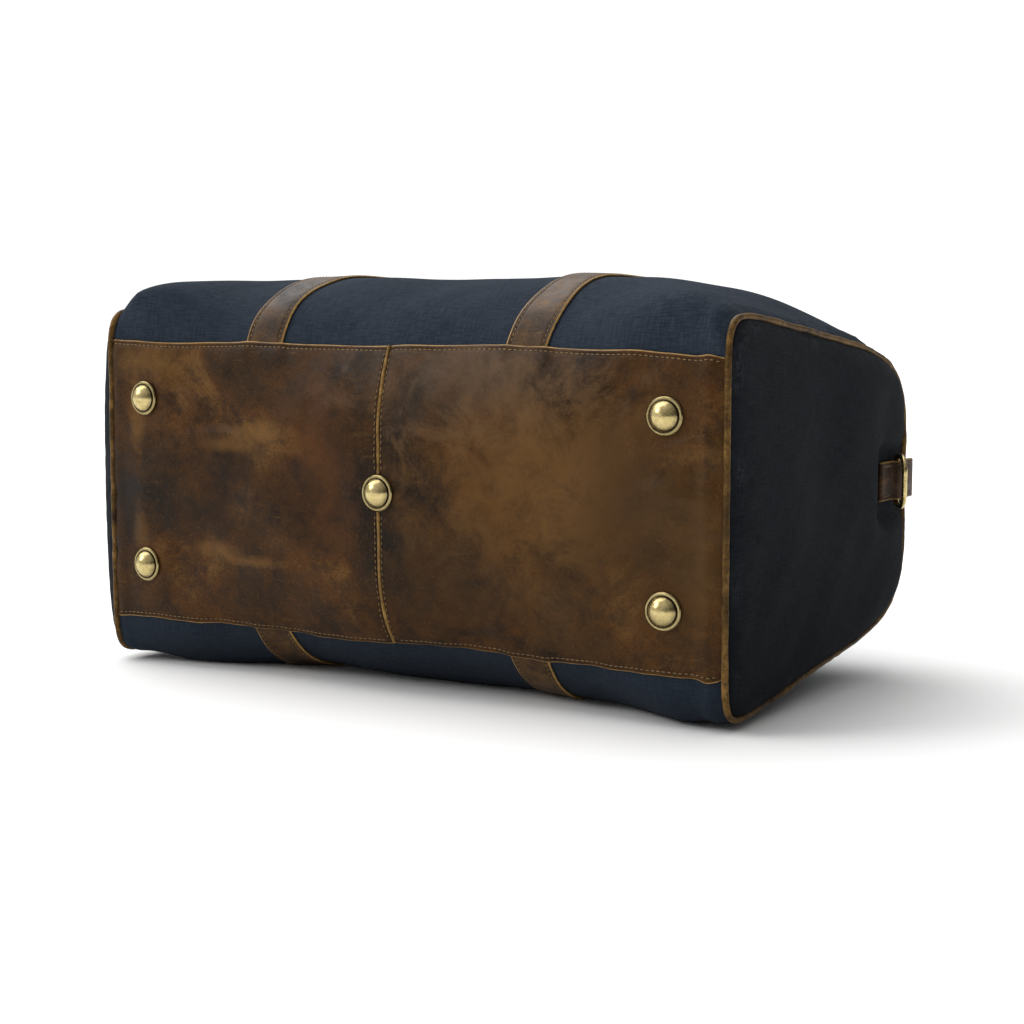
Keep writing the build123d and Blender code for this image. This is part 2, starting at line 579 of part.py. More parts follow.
for side, sign, droop in SIDES:
    for hand, turn in HANDS:
        plane = hanging_plane(sign, turn * STRAP_X, droop, 0.0)
        ring = wire_ring(plane, RING_WIDTH, RING_REACH, RING_WIRE, RING_CORNER, RING_CORNER)
        save(ring, f"ring_{side}_{hand}")
        bar_plane = hanging_plane(sign, turn * STRAP_X, droop, RING_REACH)
        bar_radius = RING_WIRE / 2 + BAR_CLEARANCE
        with BuildPart(bar_plane) as handle_tab:
            with Locations((0, HANDLE_TAB / 2, 0)):
                Box(HANDLE_WIDTH, HANDLE_TAB, 2 * LEATHER_THICK)
            with Locations(Rotation(0, 90, 0)):
                Cylinder(bar_radius + LEATHER_THICK, HANDLE_WIDTH)
                Cylinder(bar_radius, HANDLE_WIDTH + 1, mode=Mode.SUBTRACT)
            with Locations((0, HANDLE_TAB / 2, 0)):
                Cylinder(RIVET_HOLE_RADIUS, 3 * LEATHER_THICK, mode=Mode.SUBTRACT)
        save(handle_tab, f"handle_tab_{side}_{hand}")
    grip_plane = hanging_plane(sign, 0.0, droop, RING_REACH + HANDLE_TAB)
    with BuildPart() as grip:
        with BuildLine(grip_plane) as grip_route:
            Line((-STRAP_X, 0), (-STRAP_X, HANDLE_STRAIGHT))
            arc_top = (0, HANDLE_STRAIGHT + STRAP_X)
            ThreePointArc((-STRAP_X, HANDLE_STRAIGHT), arc_top, (STRAP_X, HANDLE_STRAIGHT))
            Line((STRAP_X, HANDLE_STRAIGHT), (STRAP_X, 0))
        with BuildSketch(Plane(origin=grip_route.line @ 0, z_dir=grip_route.line % 0)):
            Circle(GRIP_DIAMETER / 2)
        sweep()
    save(grip, f"handle_grip_{side}")
    rivet_plane = hanging_plane(sign, 0.0, droop, RING_REACH + HANDLE_TAB / 2)
    with BuildPart(rivet_plane) as rivets:
        for turn in (-1, 1):
            with Locations((turn * STRAP_X, 0, 0)):
                Cylinder(RIVET_RADIUS, 2 * LEATHER_THICK)
            for face in (-1, 1):
                with Locations((turn * STRAP_X, 0, face * (LEATHER_THICK + RIVET_HEAD_THICK / 2))):
                    Cylinder(RIVET_HEAD_RADIUS, RIVET_HEAD_THICK)
    save(rivets, f"handle_rivets_{side}")

# ---- Tabs and dee rings on the end panels ----

for hand, turn in HANDS:
    with BuildPart() as dee_tab:
        with BuildSketch(Plane.XY.offset(DEE_TAB_Z - DEE_TAB_WIDTH / 2)):
            with BuildLine():
                face_x, flat_x = PANEL_FACE_X, PANEL_FACE_X + DEE_TAB_THICK
                over_x = BAG_LENGTH / 2 + 0.2
                raised_x = over_x + DEE_TAB_THICK
                start_y, near_y = DEE_TAB_START_Y, DEE_AXIS_Y - DEE_BEND_HALF
                lift_y, far_y, end_y = DEE_TAB_LIFT_Y, DEE_AXIS_Y + DEE_BEND_HALF, DEE_TAB_END_Y
                crown = (DEE_AXIS_X + DEE_WIRE / 2 + 2.2, DEE_AXIS_Y)
                Polyline((turn * face_x, start_y), (turn * flat_x, start_y), (turn * flat_x, near_y))
                ThreePointArc(
                    (turn * flat_x, near_y),
                    (turn * crown[0], crown[1]),
                    (turn * raised_x, far_y),
                )
                Polyline(
                    (turn * raised_x, far_y),
                    (turn * raised_x, end_y),
                    (turn * over_x, end_y),
                    (turn * over_x, lift_y),
                    (turn * face_x, lift_y),
                    (turn * face_x, start_y),
                )
            make_face()
        extrude(amount=DEE_TAB_WIDTH)
        with Locations((turn * DEE_AXIS_X, DEE_AXIS_Y, DEE_TAB_Z)):
            Cylinder(DEE_WIRE / 2 + BAR_CLEARANCE, DEE_TAB_WIDTH + 1, mode=Mode.SUBTRACT)
    save(dee_tab, f"dee_tab_{hand}")
    dee_origin = (turn * DEE_AXIS_X, DEE_AXIS_Y, DEE_TAB_Z)
    lean, out = sin(radians(DEE_REST)), cos(radians(DEE_REST))
    dee_plane = Plane(origin=dee_origin, x_dir=(0, 0, turn), z_dir=(-turn * lean, out, 0))
    dee_ring = wire_ring(dee_plane, DEE_WIDTH, DEE_REACH, DEE_WIRE, *DEE_CORNERS)
    save(dee_ring, f"dee_ring_{hand}")

front_y, front_z = strap_hinge(1)
back_y, back_z = strap_hinge(-1)
print("ring axes (y, z):", round(front_y, 2), round(front_z, 2), round(back_y, 2), round(back_z, 2))
print("crest of the front panel:", round(Section(0).side_at(-15, 1), 1))
print("turn of a corner foot:", round(degrees(foot_planes[1].z_dir.X), 1))
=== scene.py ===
import json
from math import cos, pi, radians, sin, tau

import bpy
import numpy as np
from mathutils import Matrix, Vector


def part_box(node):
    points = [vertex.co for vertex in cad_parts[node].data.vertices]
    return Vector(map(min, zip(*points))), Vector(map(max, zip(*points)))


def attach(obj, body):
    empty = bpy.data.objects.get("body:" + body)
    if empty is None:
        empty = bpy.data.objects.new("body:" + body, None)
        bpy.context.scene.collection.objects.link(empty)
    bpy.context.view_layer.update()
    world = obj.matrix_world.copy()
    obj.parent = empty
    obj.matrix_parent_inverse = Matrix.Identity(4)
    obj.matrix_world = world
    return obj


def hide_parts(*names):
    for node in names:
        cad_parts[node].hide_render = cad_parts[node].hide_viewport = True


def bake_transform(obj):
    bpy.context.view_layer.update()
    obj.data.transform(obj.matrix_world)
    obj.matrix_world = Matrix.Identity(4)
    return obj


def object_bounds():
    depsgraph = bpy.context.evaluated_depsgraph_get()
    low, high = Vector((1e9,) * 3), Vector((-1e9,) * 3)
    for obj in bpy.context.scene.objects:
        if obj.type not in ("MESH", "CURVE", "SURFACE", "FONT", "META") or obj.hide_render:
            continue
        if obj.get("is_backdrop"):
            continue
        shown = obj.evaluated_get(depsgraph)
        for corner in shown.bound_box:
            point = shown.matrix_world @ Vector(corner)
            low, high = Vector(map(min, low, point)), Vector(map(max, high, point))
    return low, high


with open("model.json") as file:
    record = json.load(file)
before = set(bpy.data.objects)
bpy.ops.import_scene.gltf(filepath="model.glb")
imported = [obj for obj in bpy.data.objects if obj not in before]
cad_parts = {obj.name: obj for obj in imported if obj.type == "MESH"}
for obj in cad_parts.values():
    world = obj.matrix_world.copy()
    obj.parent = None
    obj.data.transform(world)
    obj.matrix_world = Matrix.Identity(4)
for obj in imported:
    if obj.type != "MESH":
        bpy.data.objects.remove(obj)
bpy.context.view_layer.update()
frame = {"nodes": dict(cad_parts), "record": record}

# A weekender bag lying on its back panel. Shapes are worked out in millimetres in the CAD's frame
# and turned into metres where a mesh is made.

MM = 0.001

BODY_HALF = 259.4
MID_Z = 141.0
TOP_Y, BASE_Y, BASE_BULGE = 187.0, -121.0, 10.0
FLOOR_SETTLE = 3.5
END_DEPTH_BASE, END_DEPTH_TOP = 134.6, 95.6
FULL_DEPTH_BASE, FULL_DEPTH_TOP, BACK_DEPTH_BASE = 162.0, 140.0, 151.0
END_CORNERS, FULL_CORNERS = (12.0, 4.7), (3.1, 2.4)
BASE_LEATHER_HALF = 104.5
LEATHER = 2.0
STRAP_X, STRAP_HALF = 111.0, 16.0
MOUTH_X, MOUTH_Z = 228.0, 48.0
SLOT_X, SLOT_Z = 246.0, 15.0
JOIN_X = 150.0              # from here to the mouth's ends the gussets are separate pieces that stay where they are made instead of turning
CORD_RADIUS = 2.2
CHAIN_Y = 181.8
HANDLE_TAB, HANDLE_STRAIGHT = 40.0, 16.0
TAB_HALF, GRIP_HALF = 16.3, 7.3
STITCH_INSET = 3.4
Y, Z = 1, 2
BASE_SIDE = (pi / 2, 3 * pi / 2)
TOP_SIDE = {1: (-pi / 2, pi / 2), -1: (3 * pi / 2, 5 * pi / 2)}
EDGE_ROWS = (0.0, 0.35, 0.8, 1.4, 2.2, 2.9, 3.4, 3.9, 4.6, 6.0, 8.0)


def centre_of(node):
    low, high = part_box(node)
    return np.array((low + high) / 2) / MM


FEET = [centre_of(f"foot_{number}") for number in range(1, 6)]
SIDES = (("front", 1), ("back", -1))
HANDS = (("left", -1), ("right", 1))
JOINTS = frame["record"]["behaviour"]["joints"]
PIVOTS = {joint["name"]: np.array(joint["pos_m"][1:]) / MM for joint in JOINTS if "pos_m" in joint}
HINGE = {side: PIVOTS[f"rings_{side}_swing"] for side, _ in SIDES}
HANDLE_BAR = {side: PIVOTS[f"handle_{side}_swing"] for side, _ in SIDES}


# ---- Shape of the bag's skin ----


def smooth(start, end, value):
    """0 before start and 1 after end, with a smooth rise between them."""
    share = np.clip((value - start) / (end - start), 0, 1)
    return share * share * (3 - 2 * share)


def bell(away, reach):
    """1 where away is 0, and nearly nothing beyond twice the reach."""
    return np.exp(-(away / reach) ** 2)


def wander(p, seed, size):
    """Smooth noise of about one unit at the points p, with swells about size apart."""
    rng = np.random.default_rng(seed)
    total = np.zeros(p.shape[:-1])
    for _ in range(9):
        direction = rng.normal(size=3)
        direction *= tau / size * rng.uniform(0.6, 1.5) / np.linalg.norm(direction)
        total += np.sin(p @ direction + rng.uniform(0, tau))
    return total / 3


def outline(x, angle, grow=0.0):
    """Points of the stuffed bag's skin at x, in the direction angle from +Y towards +Z."""
    parts = [np.asarray(a, float) for a in (x, angle, grow)]
    x, angle, grow = np.broadcast_arrays(*parts)
    share = np.clip(np.abs(x) / BODY_HALF, 0, 1)
    swell = 1 - share ** 5
    base = BASE_Y - BASE_BULGE * (1 - share ** 2)
    mid_y, half_height = (TOP_Y + base) / 2, (TOP_Y - base) / 2
    mid_z = MID_Z - FLOOR_SETTLE * (1 - swell)
    full_base = np.where(np.sin(angle) > 0, FULL_DEPTH_BASE, BACK_DEPTH_BASE)
    depth_base = END_DEPTH_BASE + (full_base - END_DEPTH_BASE) * swell
    depth_top = END_DEPTH_TOP + (FULL_DEPTH_TOP - END_DEPTH_TOP) * swell
    base_corner = END_CORNERS[0] + (FULL_CORNERS[0] - END_CORNERS[0]) * swell
    top_corner = END_CORNERS[1] + (FULL_CORNERS[1] - END_CORNERS[1]) * swell
    along, across = np.cos(angle), np.sin(angle)
    corner = np.where(along > 0, top_corner, base_corner)
    reach = (np.abs(along) ** corner + np.abs(across) ** corner) ** (-1 / corner)
    depth = depth_base + (depth_top - depth_base) * (1 + reach * along) / 2
    y = mid_y + (half_height + grow) * reach * along
    z = mid_z + (depth + grow) * reach * across
    return np.stack([x, y, z], axis=-1)


def relief(p):
    """How far the stuffed cloth stands out or in at p, on the plain skin: swells, and puckers at seams."""
    x, y, z = p[..., 0], p[..., 1], p[..., 2]
    to_end = BODY_HALF - np.abs(x)
    calm = smooth(2, 45, to_end) * (1 - smooth(140, 172, y))
    strap_gap = np.abs(np.abs(x) - STRAP_X)
    calm *= 1 - (1 - smooth(16, 45, strap_gap)) * smooth(70, 95, y)
    soft = 1.7 * wander(p, 11, 150) + 0.55 * wander(p, 12, 55)
    for foot in FEET:
        gap = np.hypot(x - foot[0], z - foot[2]) + 1000 * (y > 0)
        calm *= smooth(11, 34, gap)
        soft = soft + 0.9 * bell(gap - 22, 7)
    amount = soft * calm
    seam = np.exp(-np.clip(to_end, 0, None) / 11) * smooth(0, 4, to_end)
    amount += 0.75 * wander(p * (0.3, 1, 1), 13, 17) * seam * (1 - smooth(150, 172, y))
    amount += np.where(x < 0, 0.9, 2.3) * bell(to_end - 9, 6) * (1 - smooth(150, 172, y))
    plump = np.where(x < 0, 8.5, 2.0) * smooth(1, 24, to_end) * (1 - smooth(22, 115, to_end))
    plump = plump * smooth(-120, -103, y) * (1 - smooth(60, 150, y)) * smooth(MID_Z, MID_Z + 60, z)
    amount += plump * (1 - (1 - smooth(16, 45, strap_gap)) * smooth(70, 95, y))
    return amount


def held_up(points, floor):
    """Lifts the given points, in place, so that none is lower than floor, and returns them."""
    points[..., 2] = np.maximum(points[..., 2], floor)
    return points


def skin(x, angle, grow, floor=0.3):
    """Points grow outside the cloth's own surface, held up by the floor."""
    return held_up(outline(x, angle, grow + relief(outline(x, angle))), floor)


def angle_where(x, axis, value, start, end):
    """Angles between start and end at which the skin's coordinate on axis passes value."""
    x = np.asarray(x, float)
    low, high = np.full(x.shape, float(start)), np.full(x.shape, float(end))
    rising = outline(x, high)[..., axis] > outline(x, low)[..., axis]
    for _ in range(36):
        middle = (low + high) / 2
        passed = (outline(x, middle)[..., axis] > value) == rising
        high, low = np.where(passed, middle, high), np.where(passed, low, middle)
    return (low + high) / 2


def rows_between(x, first, last, pitch, near=(0.0,)):
    """Angles and arc lengths from first to last at each x.

    They are near's distances from both edges, and even rows about pitch apart between them.
    """
    fine = first[:, None] + (last - first)[:, None] * np.linspace(0, 1, 241)
    steps = np.linalg.norm(np.diff(outline(x[:, None], fine), axis=1), axis=2)
    runs = np.concatenate([np.zeros((len(x), 1)), np.cumsum(steps, axis=1)], axis=1)
    count = max(3, int(round((runs[:, -1].max() - 2 * near[-1]) / pitch)) + 1)
    angles, lengths = [], []
    for fine_row, run in zip(fine, runs):
        total = run[-1]
        inner = np.linspace(near[-1], total - near[-1], count)[1:-1]
        want = np.concatenate([near, inner, total - np.array(near)[::-1]])
        angles.append(np.interp(want, run, fine_row))
        lengths.append(want)
    return np.array(angles), np.array(lengths)


def stations(marks, pitch):
    """Positions through all the marks, about pitch apart."""
    found = [marks[0]]
    for start, end in zip(marks, marks[1:]):
        count = max(1, int(round((end - start) / pitch)))
        found += [start + (end - start) * (i + 1) / count for i in range(count)]
    return np.array(found)


def spread(x, angles):
    """The stations x, repeated for every column of angles."""
    return np.broadcast_to(x[:, None], angles.shape)


def cut_edge(gap, reach=0.9, top=1.5):
    """The edge attribute: 1 on a raw cut edge, 0 on the leather's face."""
    return np.clip(top - gap / reach, 0, 1)


def edge_gap(arcs):
    """How far each row is from the nearer of its two edges."""
    return np.minimum(arcs, arcs[:, -1:] - arcs)


def squared(v, corner):
    """A sine or cosine made squarer, for a section with rounded corners."""
    return np.sign(v) * np.abs(v) ** (2 / corner)


def ring_of(count):
    """Angles evenly round a circle."""
    return np.linspace(0, tau, count, endpoint=False)


def on_cloth(along, across):
    """The cloth attribute: where a point lies on the flat cloth, in millimetres."""
    return np.stack(np.broadcast_arrays(along, across, 0.0), axis=-1)


# ---- Making meshes ----


def grid_faces(rows, columns, wrap_rows=False, wrap_columns=False):
    """Quads of a grid of points, closed round on itself along either way where asked."""
    last_row = rows if wrap_rows else rows - 1
    last_column = columns if wrap_columns else columns - 1
    i, j = np.meshgrid(np.arange(last_row), np.arange(last_column), indexing="ij")
    i2, j2 = (i + 1) % rows, (j + 1) % columns
    quads = np.stack([i * columns + j, i2 * columns + j, i2 * columns + j2, i * columns + j2], axis=-1)
    return quads.reshape(-1, 4)


class Mesh:
    """Points, faces and point values gathered for one piece."""

    def __init__(self):
        self.points, self.faces, self.values, self.inks = [], [], {}, []
        self.count = 0

    def add(self, points, faces, ink=0, **values):
        points = np.asarray(points, float).reshape(-1, 3)
        self.points.append(points)
        self.faces += [[int(v) + self.count for v in face] for face in faces]
        self.inks += [ink] * len(faces)
        for name in set(values) | set(self.values):
            size = 3 if name == "cloth" else 1
            done = self.values.setdefault(name, [np.zeros((self.count, size))])
            given = values.get(name)
            filled = np.zeros((len(points), size))
            if given is not None:
                filled = np.broadcast_to(np.asarray(given, float).reshape(-1, size), (len(points), size))
            done.append(filled)
        self.count += len(points)

    def grid(self, points, wrap_rows=False, wrap_columns=False, keep=None, ink=0, outward=None, **values):
        """A grid of points; keep(centres) chooses faces, and outward turns them away from a point."""
        rows, columns = points.shape[:2]
        quads = grid_faces(rows, columns, wrap_rows, wrap_columns)
        flat = points.reshape(-1, 3)
        if keep is not None:
            quads = quads[keep(flat[quads].mean(axis=1))]
        if outward is not None:
            a, b, c = flat[quads[:, 0]], flat[quads[:, 1]], flat[quads[:, 2]]
            facing = np.einsum("ij,ij->i", np.cross(b - a, c - a), a - np.array(outward))
            if facing.sum() < 0:
                quads = quads[:, ::-1]
        self.add(flat, quads, ink, **values)

    def tube(
        self, route, across, up, half_width, half_height, corner=2.0, sides=14, ink=0, capped=True, **values
    ):
        """A bar along route with a rounded section; across and up are unit vectors at each point."""
        turn = ring_of(sides)
        wide, tall = squared(np.cos(turn), corner), squared(np.sin(turn), corner)
        half_width = np.broadcast_to(half_width, len(route))[:, None, None]
        half_height = np.broadcast_to(half_height, len(route))[:, None, None]
        ring = route[:, None] + across[:, None] * wide[None, :, None] * half_width
        ring = ring + up[:, None] * tall[None, :, None] * half_height
        start = self.count
        self.grid(ring, wrap_columns=True, wrap_rows=not capped, ink=ink, **values)
        if capped:
            self.cap(len(route), sides, start, ink)

    def cap(self, rows, sides, start=0, ink=0):
        """Closes both ends of a stack of rows rings, whose points begin at start."""
        end = start + (rows - 1) * sides
        self.faces += [[start + k for k in range(sides)][::-1], [end + k for k in range(sides)]]
        self.inks += [ink, ink]

    def tidy(self):
        """Drops points that no face uses."""
        points = np.concatenate(self.points)
        used = np.zeros(len(points), bool)
        used[[v for face in self.faces for v in face]] = True
        number = np.cumsum(used) - 1
        faces = [[int(number[v]) for v in face] for face in self.faces]
        values = {name: np.concatenate(parts)[used] for name, parts in self.values.items()}
        return points[used], faces, values


def piece(name, shape, paint, body, slot, nodes=(), thick=None, flat=False):
    """Turns a gathered shape into an object that rides on a body and replaces CAD nodes."""
    points, faces, values = shape.tidy()
    mesh = bpy.data.meshes.new(name)
    mesh.from_pydata((points * MM).tolist(), [], faces)
    for key, value in values.items():
        kind, field = ("FLOAT_VECTOR", "vector") if value.shape[1] == 3 else ("FLOAT", "value")
        layer = mesh.attributes.new(key, kind, "POINT")
        layer.data.foreach_set(field, value.astype(np.float32).ravel())
    paints = paint if isinstance(paint, (list, tuple)) else [paint]
    for one in paints:
        mesh.materials.append(one)
    mesh.polygons.foreach_set("material_index", np.array(shape.inks, np.int32))
    mesh.polygons.foreach_set("use_smooth", np.full(len(faces), not flat))
    mesh.update()
    made = bpy.data.objects.new(name, mesh)
    bpy.context.scene.collection.objects.link(made)
    if thick is not None:
        solid = made.modifiers.new("thickness", "SOLIDIFY")
        solid.thickness = thick * MM
        solid.offset = -1
        solid.use_even_offset = False
    if body is not None:
        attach(made, body)
    if nodes:
        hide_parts(*nodes)
    return made


def unit(v):
    return v / np.maximum(np.linalg.norm(v, axis=-1, keepdims=True), 1e-9)


def arc_run(points):
    """Length along a line of points, from its start to each of them."""
    return np.concatenate([[0], np.cumsum(np.linalg.norm(np.diff(points, axis=0), axis=1))])


def along_run(where, run, values):
    """Vectors at the lengths where, between the values given at run's lengths."""
    return np.stack([np.interp(where, run, values[:, k]) for k in range(3)], axis=1)


def stitch_row(shape, points, normals, pitch=4.0, length=2.7, radius=0.38, seed=5):
    """Sewing thread along points: a sunk, rounded stitch at each pitch, and a dark disc at each needle hole
    that paints the shade inside it.
    """
    rng = np.random.default_rng(seed)
    run = arc_run(points)
    count = int(run[-1] / pitch)
    if count < 1:
        return
    middles = (np.arange(count) + 0.5) * run[-1] / count + rng.uniform(-0.15, 0.15, count)
    at = along_run(middles, run, points)
    out = unit(along_run(middles, run, normals))
    along = along_run(middles + 0.6, run, points) - at
    along[-1] = along[-2] if count > 1 else points[-1] - points[0]
    along = unit(along - out * np.sum(along * out, axis=1, keepdims=True))
    side = np.cross(out, along)
    along = unit(along + side * rng.uniform(-0.08, 0.08, (count, 1)))
    sides = 6
    turn = np.arange(sides) * tau / sides
    # each ring of a stitch: its place along it, its size, and its height over the surface
    stops = ((-0.5, 0.35, -0.35), (-0.36, 0.9, 0.0), (0.0, 1.0, 0.22), (0.36, 0.9, 0.0), (0.5, 0.35, -0.35))
    block = []
    for offset, size, lift in stops:
        middle = at + along * offset * length + out * lift * radius
        for t in turn:
            block.append(middle + side * cos(t) * radius * size + out * sin(t) * radius * size)
    rings = np.array(block).transpose(1, 0, 2)
    body = grid_faces(len(stops), sides, wrap_columns=True).tolist()
    last = (len(stops) - 1) * sides
    body += [list(range(sides))[::-1], [last + k for k in range(sides)]]
    for ring in rings:
        shape.add(ring, body)
    half = run[-1] / count / 2
    # painted shade: each needle hole is a near-black plug, standing in for the shade inside the hole
    for point, o, a, s in zip(along_run(middles - half, run, points), out, along, side):
        disc = [point + o * 0.05 + (a * cos(t) + s * sin(t)) * 0.52 for t in turn]
        low = [point - o * 0.5 + (a * cos(t) + s * sin(t)) * 0.4 for t in turn]
        faces = grid_faces(2, sides, wrap_columns=True).tolist()
        faces += [list(range(sides)), [sides + k for k in range(sides)][::-1]]
        shape.add(np.array(disc + low), faces, ink=1)


def sew(shape, surface, x, angle, gap, height, lowest=-np.inf, **look):
    """A row of stitches on a surface, gap inside its edge, height above it and over lowest."""
    gap = np.full(x.shape, gap)
    line = surface(x, angle, gap, height)
    normals = surface(x, angle, gap, height + 1.0) - line
    clear = line[:, 2] > lowest
    stitch_row(shape, line[clear], normals[clear], **look)


# ---- Materials ----


class Paint:
    """A material and the few nodes it is built from."""

    def __init__(self, name, roughness=0.6, **sockets):
        self.material = bpy.data.materials.new(name)
        self.material.use_nodes = True
        self.tree = self.material.node_tree
        self.shader = self.tree.nodes["Principled BSDF"]
        self.shader.inputs["Roughness"].default_value = roughness
        for key, value in sockets.items():
            self.shader.inputs[key.replace("_", " ")].default_value = value
        self.place = self.tree.nodes.new("ShaderNodeTexCoord").outputs["Object"]

    def plug(self, value, socket):
        if isinstance(value, bpy.types.NodeSocket):
            self.tree.links.new(value, socket)
        elif socket.type == "RGBA":
            socket.default_value = (*value, 1.0) if len(value) == 3 else value
        else:
            socket.default_value = value

    def node(self, kind, inputs, **settings):
        """A new node with its settings and with its inputs linked or set."""
        made = self.tree.nodes.new("ShaderNode" + kind)
        for key, value in settings.items():
            setattr(made, key, value)
        for key, value in inputs.items():
            self.plug(value, made.inputs[key])
        return made

    def attribute(self, name, vector=False):
        return self.node("Attribute", {}, attribute_name=name).outputs["Vector" if vector else "Fac"]

    def stretched(self, vector, scale):
        return self.node("Mapping", {"Vector": vector, "Scale": scale}).outputs["Vector"]

    def split(self, vector):
        return self.node("SeparateXYZ", {0: vector}).outputs

    def noise(self, scale, detail=4.0, rough=0.55, warp=0.0, vector=None, shift=0.0):
        inputs = {"Vector": self.place if vector is None else vector, "W": shift, "Scale": scale}
        inputs |= {"Detail": detail, "Roughness": rough, "Distortion": warp}
        return self.node("TexNoise", inputs, noise_dimensions="4D").outputs["Fac"]

    def cells(self, scale):
        return self.node("TexVoronoi", {"Vector": self.place, "Scale": scale}).outputs["Distance"]

    def math(self, how, *values, clamp=False):
        return self.node("Math", dict(enumerate(values)), operation=how, use_clamp=clamp).outputs[0]

    def ramp(self, value, *stops):
        """A colour ramp; a stop's plain number stands for a grey."""
        made = self.node("ValToRGB", {"Fac": value})
        band = made.color_ramp
        while len(band.elements) < len(stops):
            band.elements.new(0.5)
        for element, (at, colour) in zip(band.elements, stops):
            element.position = at
            element.color = (*colour, 1.0) if isinstance(colour, tuple) else (colour, colour, colour, 1.0)
        return made.outputs["Color"]

    def mix(self, share, a, b):
        return self.node("Mix", {0: share, 6: a, 7: b}, data_type="RGBA").outputs[2]

    def bump(self, height, distance, strength=1.0, under=None):
        inputs = {"Height": height, "Distance": distance, "Strength": strength}
        if under is not None:
            inputs["Normal"] = under
        return self.node("Bump", inputs).outputs["Normal"]

    def distance_to(self, middle, squash=(1, 1, 1)):
        """Distance in millimetres from a point given in millimetres, stretched per axis."""
        inputs = {0: self.place, 1: [v * MM for v in middle]}
        shifted = self.node("VectorMath", inputs, operation="SUBTRACT").outputs[0]
        inputs = {0: shifted, 1: [v / MM for v in squash]}
        scaled = self.node("VectorMath", inputs, operation="MULTIPLY").outputs[0]
        return self.node("VectorMath", {0: scaled}, operation="LENGTH").outputs["Value"]

    def weave(self, cloth, pitch):
        """Threads that cross at pitch, as the product of two waves."""
        ways = self.split(cloth)
        waves = [self.math("SINE", self.math("MULTIPLY", ways[axis], tau / pitch)) for axis in (0, 1)]
        return self.math("MULTIPLY", *waves)

    def finish(self, colour, roughness=None, normal=None):
        self.plug(colour, self.shader.inputs["Base Color"])
        if roughness is not None:
            self.plug(roughness, self.shader.inputs["Roughness"])
        if normal is not None:
            self.plug(normal, self.shader.inputs["Normal"])
        return self.material


CANVAS_PITCH, LINING_PITCH, TAPE_PITCH = 0.95, 0.8, 1.2


def canvas_paint(name, dark, light, worn):
    """Plain-weave cotton canvas: crossing threads, thicker slubs both ways, pale wear, and painted shade that
    darkens it near the floor.
    """
    p = Paint(name, roughness=0.9, Specular_IOR_Level=0.05, Sheen_Weight=0.02, Sheen_Roughness=0.5)
    cloth = p.attribute("cloth", vector=True)
    weave = p.weave(cloth, CANVAS_PITCH)
    slub_x = p.noise(1.0, 3.0, 0.6, vector=p.stretched(cloth, (0.085, 0.85, 1.0)))
    slub_y = p.noise(1.0, 3.0, 0.6, vector=p.stretched(cloth, (0.85, 0.085, 1.0)), shift=3.0)
    slubs = p.math("ADD", slub_x, slub_y)
    cloud = p.noise(16.0, 4.0, 0.6, warp=0.4)
    tone = p.math("MULTIPLY_ADD", slubs, 0.5, -0.05)
    tone = p.math("ADD", tone, p.math("MULTIPLY", weave, 0.06))
    colour = p.ramp(tone, (0.34, dark), (0.58, light))
    colour = p.mix(p.ramp(cloud, (0.35, 0.0), (0.75, 0.5)), colour, light)
    fleck = p.noise(330.0, 2.0, 0.7, shift=8.0)
    wear = p.math("MULTIPLY", p.attribute("wear"), p.ramp(fleck, (0.42, 0.0), (0.62, 1.0)))
    colour = p.mix(wear, colour, worn)
    # painted shade: within about 83 mm of the floor the canvas is mixed towards its dark tone, standing in
    # for the floor's contact shadow
    painted_floor_shade_fade = p.math("MULTIPLY", p.split(p.place)[Z], 12.0, clamp=True)
    colour = p.mix(p.ramp(painted_floor_shade_fade, (0.0, 0.55), (1.0, 0.0)), colour, dark)
    height = p.math("ADD", p.math("MULTIPLY", slubs, 1.6), p.math("MULTIPLY", weave, 0.35))
    normal = p.bump(height, 0.00035, 0.8)
    normal = p.bump(p.noise(70.0, 3.0), 0.0012, 0.35, normal)
    return p.finish(colour, normal=normal)


